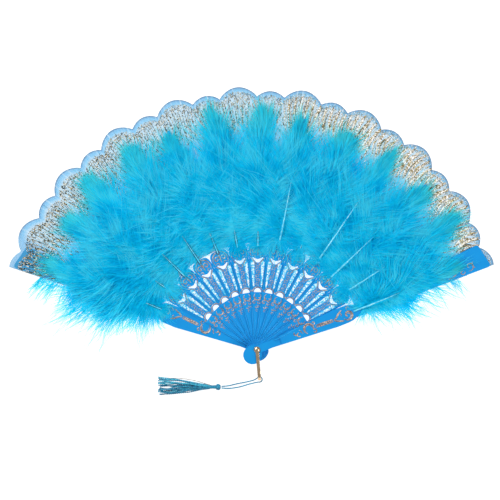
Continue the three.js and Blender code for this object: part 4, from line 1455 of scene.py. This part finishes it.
def bent_barbs(tree, given, seeds, barbs):
    """The barbs bent towards the tip, swirled together, sagging, and at rest on what is under them."""
    along = add(tree, "GeometryNodeSplineParameter").outputs["Factor"]
    here = add(tree, "GeometryNodeInputPosition").outputs[0]
    tone = add(tree, "GeometryNodeInputNamedAttribute", {0: "tone"}).outputs[0]
    rooted = add(tree, "GeometryNodeInputNamedAttribute", {0: "root"}).outputs[0]
    swept = add(tree, "ShaderNodeMapRange", {0: rooted, 2: 0.2}).outputs[0]
    squared = add(tree, "ShaderNodeMath", {0: along, 1: 2.0}, operation="POWER").outputs[0]
    bends = []
    for size, factor in (("Sweep", swept), ("Droop", -1.0)):
        bend = add(tree, "ShaderNodeMath", {0: squared, 1: given[size]}, operation="MULTIPLY").outputs[0]
        bends.append(add(tree, "ShaderNodeMath", {0: bend, 1: factor}, operation="MULTIPLY").outputs[0])
    bend = add(tree, "ShaderNodeCombineXYZ", {1: bends[0], 2: bends[1]}).outputs[0]
    moved = add(tree, "ShaderNodeVectorMath", {0: here, 1: bend}, operation="ADD").outputs[0]
    for seed, grain, reach in ((seeds[6], 30 * MM, given["Swirl"]), (seeds[7], 5 * MM, 5 * MM)):
        swirl = add(
            tree,
            "ShaderNodeTexNoise",
            {"Vector": here, "W": seed, "Scale": 1 / grain, "Detail": 1.0},
            noise_dimensions="4D",
        ).outputs["Color"]
        swirl = add(
            tree, "ShaderNodeVectorMath", {0: swirl, 1: (0.5, 0.5, 0.5)}, operation="SUBTRACT"
        ).outputs[0]
        size = add(tree, "ShaderNodeMath", {0: along, 1: reach}, operation="MULTIPLY").outputs[0]
        swirl = add(tree, "ShaderNodeVectorMath", {0: swirl, 3: size}, operation="SCALE").outputs[0]
        moved = add(tree, "ShaderNodeVectorMath", {0: moved, 1: swirl}, operation="ADD").outputs[0]
    parts = add(tree, "ShaderNodeSeparateXYZ", {0: moved}).outputs
    floor = add(tree, "ShaderNodeMath", {0: tone, 1: 0.7 * MM, 2: given["Ground"]}, operation="MULTIPLY_ADD")
    height = add(tree, "ShaderNodeMath", {0: parts[2], 1: floor.outputs[0]}, operation="MAXIMUM").outputs[0]
    moved = add(tree, "ShaderNodeCombineXYZ", {0: parts[0], 1: parts[1], 2: height}).outputs[0]
    return add(tree, "GeometryNodeSetPosition", {0: barbs, 2: moved}).outputs[0]


def barb_ribbons(tree, given, barbs):
    """Each barb as a ribbon that tapers to its tip and is tilted its own way."""
    along = add(tree, "GeometryNodeSplineParameter").outputs["Factor"]
    tone = add(tree, "GeometryNodeInputNamedAttribute", {0: "tone"}).outputs[0]
    rooted = add(tree, "GeometryNodeInputNamedAttribute", {0: "root"}).outputs[0]
    edge = add(tree, "ShaderNodeMapRange", {0: rooted, 1: 0.72, 3: 0.0, 4: 1.0}).outputs[0]
    edge = add(tree, "ShaderNodeMath", {0: edge, 1: given["Paleness"]}, operation="MAXIMUM").outputs[0]
    for name, value in (("along", along), ("edge", edge)):
        barbs = add(tree, "GeometryNodeStoreNamedAttribute", {0: barbs, 2: name, 3: value}).outputs[0]
    barbs = add(tree, "GeometryNodeSetCurveNormal", {0: barbs}, mode="Z_UP").outputs[0]
    tilt = add(tree, "ShaderNodeMapRange", {0: tone, 3: -0.5, 4: 0.5}).outputs[0]
    barbs = add(tree, "GeometryNodeSetCurveTilt", {0: barbs, 2: tilt}).outputs[0]
    width = add(tree, "ShaderNodeFloatCurve", {1: along})
    set_curve(width, [(0.0, 0.55), (0.35, 1.0), (0.75, 0.75), (1.0, 0.12)])
    width = width.outputs[0]
    fine_root = add(tree, "ShaderNodeMapRange", {0: rooted, 2: 0.14, 3: 0.5}).outputs[0]
    for factor in (given["Barb Width"], fine_root):
        width = add(tree, "ShaderNodeMath", {0: width, 1: factor}, operation="MULTIPLY").outputs[0]
    ribbon = add(tree, "GeometryNodeCurvePrimitiveLine", {0: (-0.5, 0.0, 0.0), 1: (0.5, 0.0, 0.0)}).outputs[0]
    return add(tree, "GeometryNodeCurveToMesh", {0: barbs, 1: ribbon, 2: width}).outputs[0]


def quill_shaft(tree, given):
    """A round quill that arches up from its foot, tapers, and sinks into the down beyond where it shows. It
    is quite sunk at 1.28 times that length."""
    sunk_at = 1.28
    tip = add(tree, "ShaderNodeCombineXYZ", {1: given["Quill Length"]}).outputs[0]
    quill = add(tree, "GeometryNodeCurvePrimitiveLine", {0: (0.0, -5 * MM, 0.0), 1: tip}).outputs[0]
    quill = add(tree, "GeometryNodeResampleCurve", {0: quill, 2: 40}).outputs[0]
    here = add(tree, "GeometryNodeInputPosition").outputs[0]
    place = add(tree, "ShaderNodeSeparateXYZ", {0: here}).outputs
    arch = {0: place[1], 1: 0.0, 2: 12 * MM, 4: given["Quill Lift"]}
    arch = add(tree, "ShaderNodeMapRange", arch).outputs[0]
    end = add(tree, "ShaderNodeMath", {0: given["Quill Shown"], 1: sunk_at}, operation="MULTIPLY").outputs[0]
    sunk = {0: place[1], 1: given["Quill Shown"], 2: end, 3: 0.0, 4: 5 * MM}
    sunk = add(tree, "ShaderNodeMapRange", sunk).outputs[0]
    arch = add(tree, "ShaderNodeMath", {0: arch, 1: sunk}, operation="SUBTRACT").outputs[0]
    arch = add(tree, "ShaderNodeMath", {0: arch, 1: 0.0}, operation="MAXIMUM").outputs[0]
    bow = add(tree, "ShaderNodeCombineXYZ", {0: sideways(tree, given, place[1]), 2: arch}).outputs[0]
    quill = add(tree, "GeometryNodeSetPosition", {0: quill, 3: bow}).outputs[0]
    thin = add(tree, "ShaderNodeMapRange", {0: place[1], 1: 0.0, 2: end, 3: 1.0, 4: 0.2}).outputs[0]
    thin = add(tree, "ShaderNodeMath", {0: thin, 1: given["Quill Radius"]}, operation="MULTIPLY").outputs[0]
    # How near each side of the round section is to the quill's sides, which the finish reads to paint shade
    # along them
    disc = add(tree, "GeometryNodeCurvePrimitiveCircle", {0: 12, 4: 1.0}).outputs[0]
    flank_shade = add(tree, "ShaderNodeMath", {0: place[0]}, operation="ABSOLUTE").outputs[0]
    flank_shade = add(tree, "ShaderNodeMath", {0: flank_shade, 1: given["Quill Flank Shade"]}, operation="MULTIPLY").outputs[0]
    disc = add(tree, "GeometryNodeStoreNamedAttribute", {0: disc, 2: "flank_shade", 3: flank_shade}).outputs[0]
    shaft = add(tree, "GeometryNodeCurveToMesh", {0: quill, 1: disc, 2: thin, 3: True}).outputs[0]
    return add(
        tree, "GeometryNodeStoreNamedAttribute", {0: shaft, 2: "quill", 3: True}, data_type="BOOLEAN"
    ).outputs[0]


def feather_tree():
    """A marabou feather along +y: a tapered quill with downy barbs that sweep towards its tip."""
    tree, given = new_tree(
        "marabou_feather",
        {
            "Quill Length": 92 * MM,
            "Quill Radius": 0.68 * MM,
            "Quill Flank Shade": 0.72,
            "Quill Shown": 92 * MM,
            "Quill Lift": 0.0,
            "Bare Length": 10 * MM,
            "Bow": 0.0,
            "Barb Count": 7000,
            "Barb Length": 28 * MM,
            "Right Reach": 1.0,
            "Barb Width": 0.4 * MM,
            "Root Angle": 1.5,
            "Tip Angle": 0.24,
            "Stray": 0.45,
            "Left Share": 0.5,
            "Gaps": 0.0,
            "Tufts": 260.0,
            "Loft": 0.3,
            "Sweep": 8 * MM,
            "Swirl": 20 * MM,
            "Fluff Angle": 0.8,
            "Crowding": 1.0,
            "Wisps From": 0.9,
            "Wisp Length": 1.45,
            "Paleness": 0.0,
            "Droop": 3 * MM,
            "Ground": 0.0,
            "Seed": 1,
        },
    )
    seeds = [
        add(tree, "ShaderNodeMath", {0: given["Seed"], 1: 17.0 * i}, operation="ADD").outputs[0]
        for i in range(8)
    ]

    share, side, root = barb_roots(tree, given, seeds)
    grown, turned = barb_turns(tree, given, seeds, share, side, root)
    long = barb_lengths(tree, given, seeds, share, side)
    tone = add(tree, "FunctionNodeRandomValue", {2: 0.0, 3: 1.0, 8: seeds[5]}).outputs[1]
    at = add(tree, "ShaderNodeCombineXYZ", {0: sideways(tree, given, root), 1: root}).outputs[0]
    dots = add(tree, "GeometryNodePoints", {0: given["Barb Count"]}).outputs[0]
    dots = add(tree, "GeometryNodeSetPosition", {0: dots, 2: at}).outputs[0]
    # Index-based fields are stored before the points are moved on, so that each barb keeps its own
    for name, value in (("tone", tone), ("root", share)):
        dots = add(tree, "GeometryNodeStoreNamedAttribute", {0: dots, 2: name, 3: value}).outputs[0]
    barb = add(tree, "GeometryNodeCurvePrimitiveLine", {1: (0.0, 1.0, 0.0)}).outputs[0]
    barb = add(tree, "GeometryNodeResampleCurve", {0: barb, 2: 7}).outputs[0]
    barbs = add(
        tree, "GeometryNodeInstanceOnPoints", {0: dots, 1: grown, 2: barb, 5: turned, 6: long}
    ).outputs[0]
    barbs = add(tree, "GeometryNodeRealizeInstances", {0: barbs}).outputs[0]
    barbs = bent_barbs(tree, given, seeds, barbs)

    joined = add(tree, "GeometryNodeJoinGeometry")
    for part in (barb_ribbons(tree, given, barbs), quill_shaft(tree, given)):
        tree.links.new(part, joined.inputs[0])
    whole = add(tree, "GeometryNodeRealizeInstances", {0: joined.outputs[0]}).outputs[0]
    whole = add(tree, "GeometryNodeSetMaterial", {0: whole, 2: DOWN}).outputs[0]
    is_quill = add(tree, "GeometryNodeInputNamedAttribute", {0: "quill"}, data_type="BOOLEAN").outputs[0]
    whole = add(tree, "GeometryNodeSetMaterial", {0: whole, 1: is_quill, 2: QUILL}).outputs[0]
    add(tree, "NodeGroupOutput", {"Geometry": whole})
    return tree


FEATHER_START = 95.0

# How far each quill is bare, and how far it shows, in millimetres from the feather's start
BARE = (1, 1, 3, 4, 3, 3, 1, 1, 1, 1, 1, 1, 3)
SHOWN = (8, 10, 19, 19, 12, 9, 6, 48, 4, 56, 40, 31, 31)

# A quill that shows further than this is slender and pale, with less painted shade at its flanks, and arches
# over the down
LONG_QUILL = 30

# How far the fluff at each feather's foot turns back over the scroll head, in radians
FLUFF = (1.3, 1.7, 0.8, 0.4, 0.5, 1.3, 0.7, 1.2, 1.3, 0.8, 1.2, 1.6, 0.4)

# Each feather outside a guard: its stick, its side and its node, where the guard's edge ends, and in
# millimetres how high its quill lies, how high its barbs rest and how far they droop
FRINGES = (
    (0, -1, "fringe_left", (221.3, 15.9), 1.4, 0.4, 1.0),
    (LAST_PLACE, 1, "fringe_right", (212.8, 7.4), 15.4, 0.5, 19.0),
)

# The sizes of its down on the left and on the right, and of the long thin hairs that stand out of the down
FRINGE_DOWN = {
    "Quill Length": (70 * MM, 98 * MM),
    "Barb Count": (3200, 560),
    "Barb Length": (16 * MM, 22 * MM),
    "Barb Width": (0.3 * MM, 0.3 * MM),
    "Gaps": (0.0, 0.54),
    "Tufts": (260.0, 95.0),
    "Swirl": (12 * MM, 12 * MM),
    "Crowding": (1.0, 1.35),
    "Wisps From": (0.8, 0.8),
    "Wisp Length": (1.6, 1.6),
    "Paleness": (0.5, 0.9),
    "Seed": (200, 212),
}
FRINGE_HAIRS = {
    "Quill Length": (104 * MM, 90 * MM),
    "Barb Count": (560, 230),
    "Barb Length": (40 * MM, 34 * MM),
    "Barb Width": (0.29 * MM, 0.2 * MM),
    "Stray": (0.2, 0.2),
    "Gaps": (0.3, 0.48),
    "Tufts": (90.0, 260.0),
    "Swirl": (7 * MM, 12 * MM),
    "Crowding": (1.15, 1.6),
    "Wisps From": (0.7, 0.7),
    "Wisp Length": (1.3, 1.3),
    "Paleness": (0.6, 1.0),
    "Seed": (240, 252),
}


def stick_feathers(tree):
    """A feather along each stick, in front of the leaf."""
    for k in range(LAST_PLACE + 1):
        guard = k in (0, LAST_PLACE)
        node = f"feather_{stick_name(k)}" if guard else f"feather_{k:02d}"
        rise = GUARD_TOP + 0.1 if k == LAST_PLACE else level_of(k + 1) + LEAF_TOP + 0.1 - level_of(k)
        long_quill = SHOWN[k] > LONG_QUILL
        sizes = {
            "Quill Length": (97 + random.uniform(-7, 4)) * MM,
            "Quill Shown": SHOWN[k] * MM,
            "Quill Lift": (4.6 if long_quill else 3.0) * MM,
            "Quill Flank Shade": 0.72 if long_quill else 2.0,
            "Quill Radius": (0.85 if long_quill else 1.35) * MM,
            "Bare Length": BARE[k] * MM,
            "Bow": random.uniform(-4, 4) * MM,
            "Barb Length": random.uniform(26, 30) * MM,
            "Root Angle": random.uniform(1.4, 1.75),
            "Fluff Angle": FLUFF[k],
            "Crowding": 1.5 if k == 1 else 1.35 if FLUFF[k] > 0.9 else 1.3,
            "Seed": 100 + k,
        }
        if k == LAST_PLACE:
            sizes.update({"Left Share": 0.65, "Right Reach": 0.6, "Quill Length": 80 * MM})
        feather = grown_piece(f"{node}_down", tree, sizes, stick_place(k, 0.0, FEATHER_START, rise))
        body = stick_name(k)
        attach(feather, body)
        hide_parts(node)
        if k < LAST_PLACE:
            anchor = stick_place(k, 0.0, FEATHER_START, STICK_TOP if k else GUARD_TOP).translation
            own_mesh(feather)


def fringes(tree):
    """The feathers outside the guards, whose barbs fall over the edge to the table."""
    for right, (k, side, node, tip, height, ground, droop) in enumerate(FRINGES):
        shared = {
            "Quill Radius": 0.3 * MM,
            "Bare Length": 0.0,
            "Root Angle": 1.6,
            "Tip Angle": 1.3,
            "Fluff Angle": 0.0,
            "Left Share": 0.0 if right else 1.0,
            "Loft": 0.1,
            "Sweep": 3 * MM,
            "Droop": droop * MM,
            "Ground": (ground - height) * MM,
        }
        slope = math.atan((tip[1] - BLADE_ROOT[1]) / (tip[0] - BLADE_ROOT[0]))
        edge = stick_place(k, side * (BLADE_ROOT[1] + 0.3), FEATHER_START, height - level_of(k))
        lean = Matrix.Rotation(-side * slope, 4, "Z")
        for kind, pairs in (("down", FRINGE_DOWN), ("hairs", FRINGE_HAIRS)):
            sizes = {**shared, **{size: pair[right] for size, pair in pairs.items()}}
            feather = grown_piece(f"{node}_{kind}", tree, sizes, edge @ lean)
            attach(feather, stick_name(k))
            if kind == "down":
                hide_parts(node)
            if side < 0:
                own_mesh(feather)


# The whole fan

random.seed(7)
light_and_camera()
tassel_cord([tassel_knot(), tassel_skirt(), stray_thread()])
rivet()
eased_copy("bail_gold", "bail", 0.18, GOLD, "bail")
for place in range(LAST_PLACE + 1):
    name = stick_name(place)
    edge = 0.3 if place in (0, LAST_PLACE) else 0.16
    eased_copy(f"{name}_plastic", name, edge, PLASTIC, name)
    gild_stick(place)
leaf()
plume = feather_tree()
stick_feathers(plume)
fringes(plume)
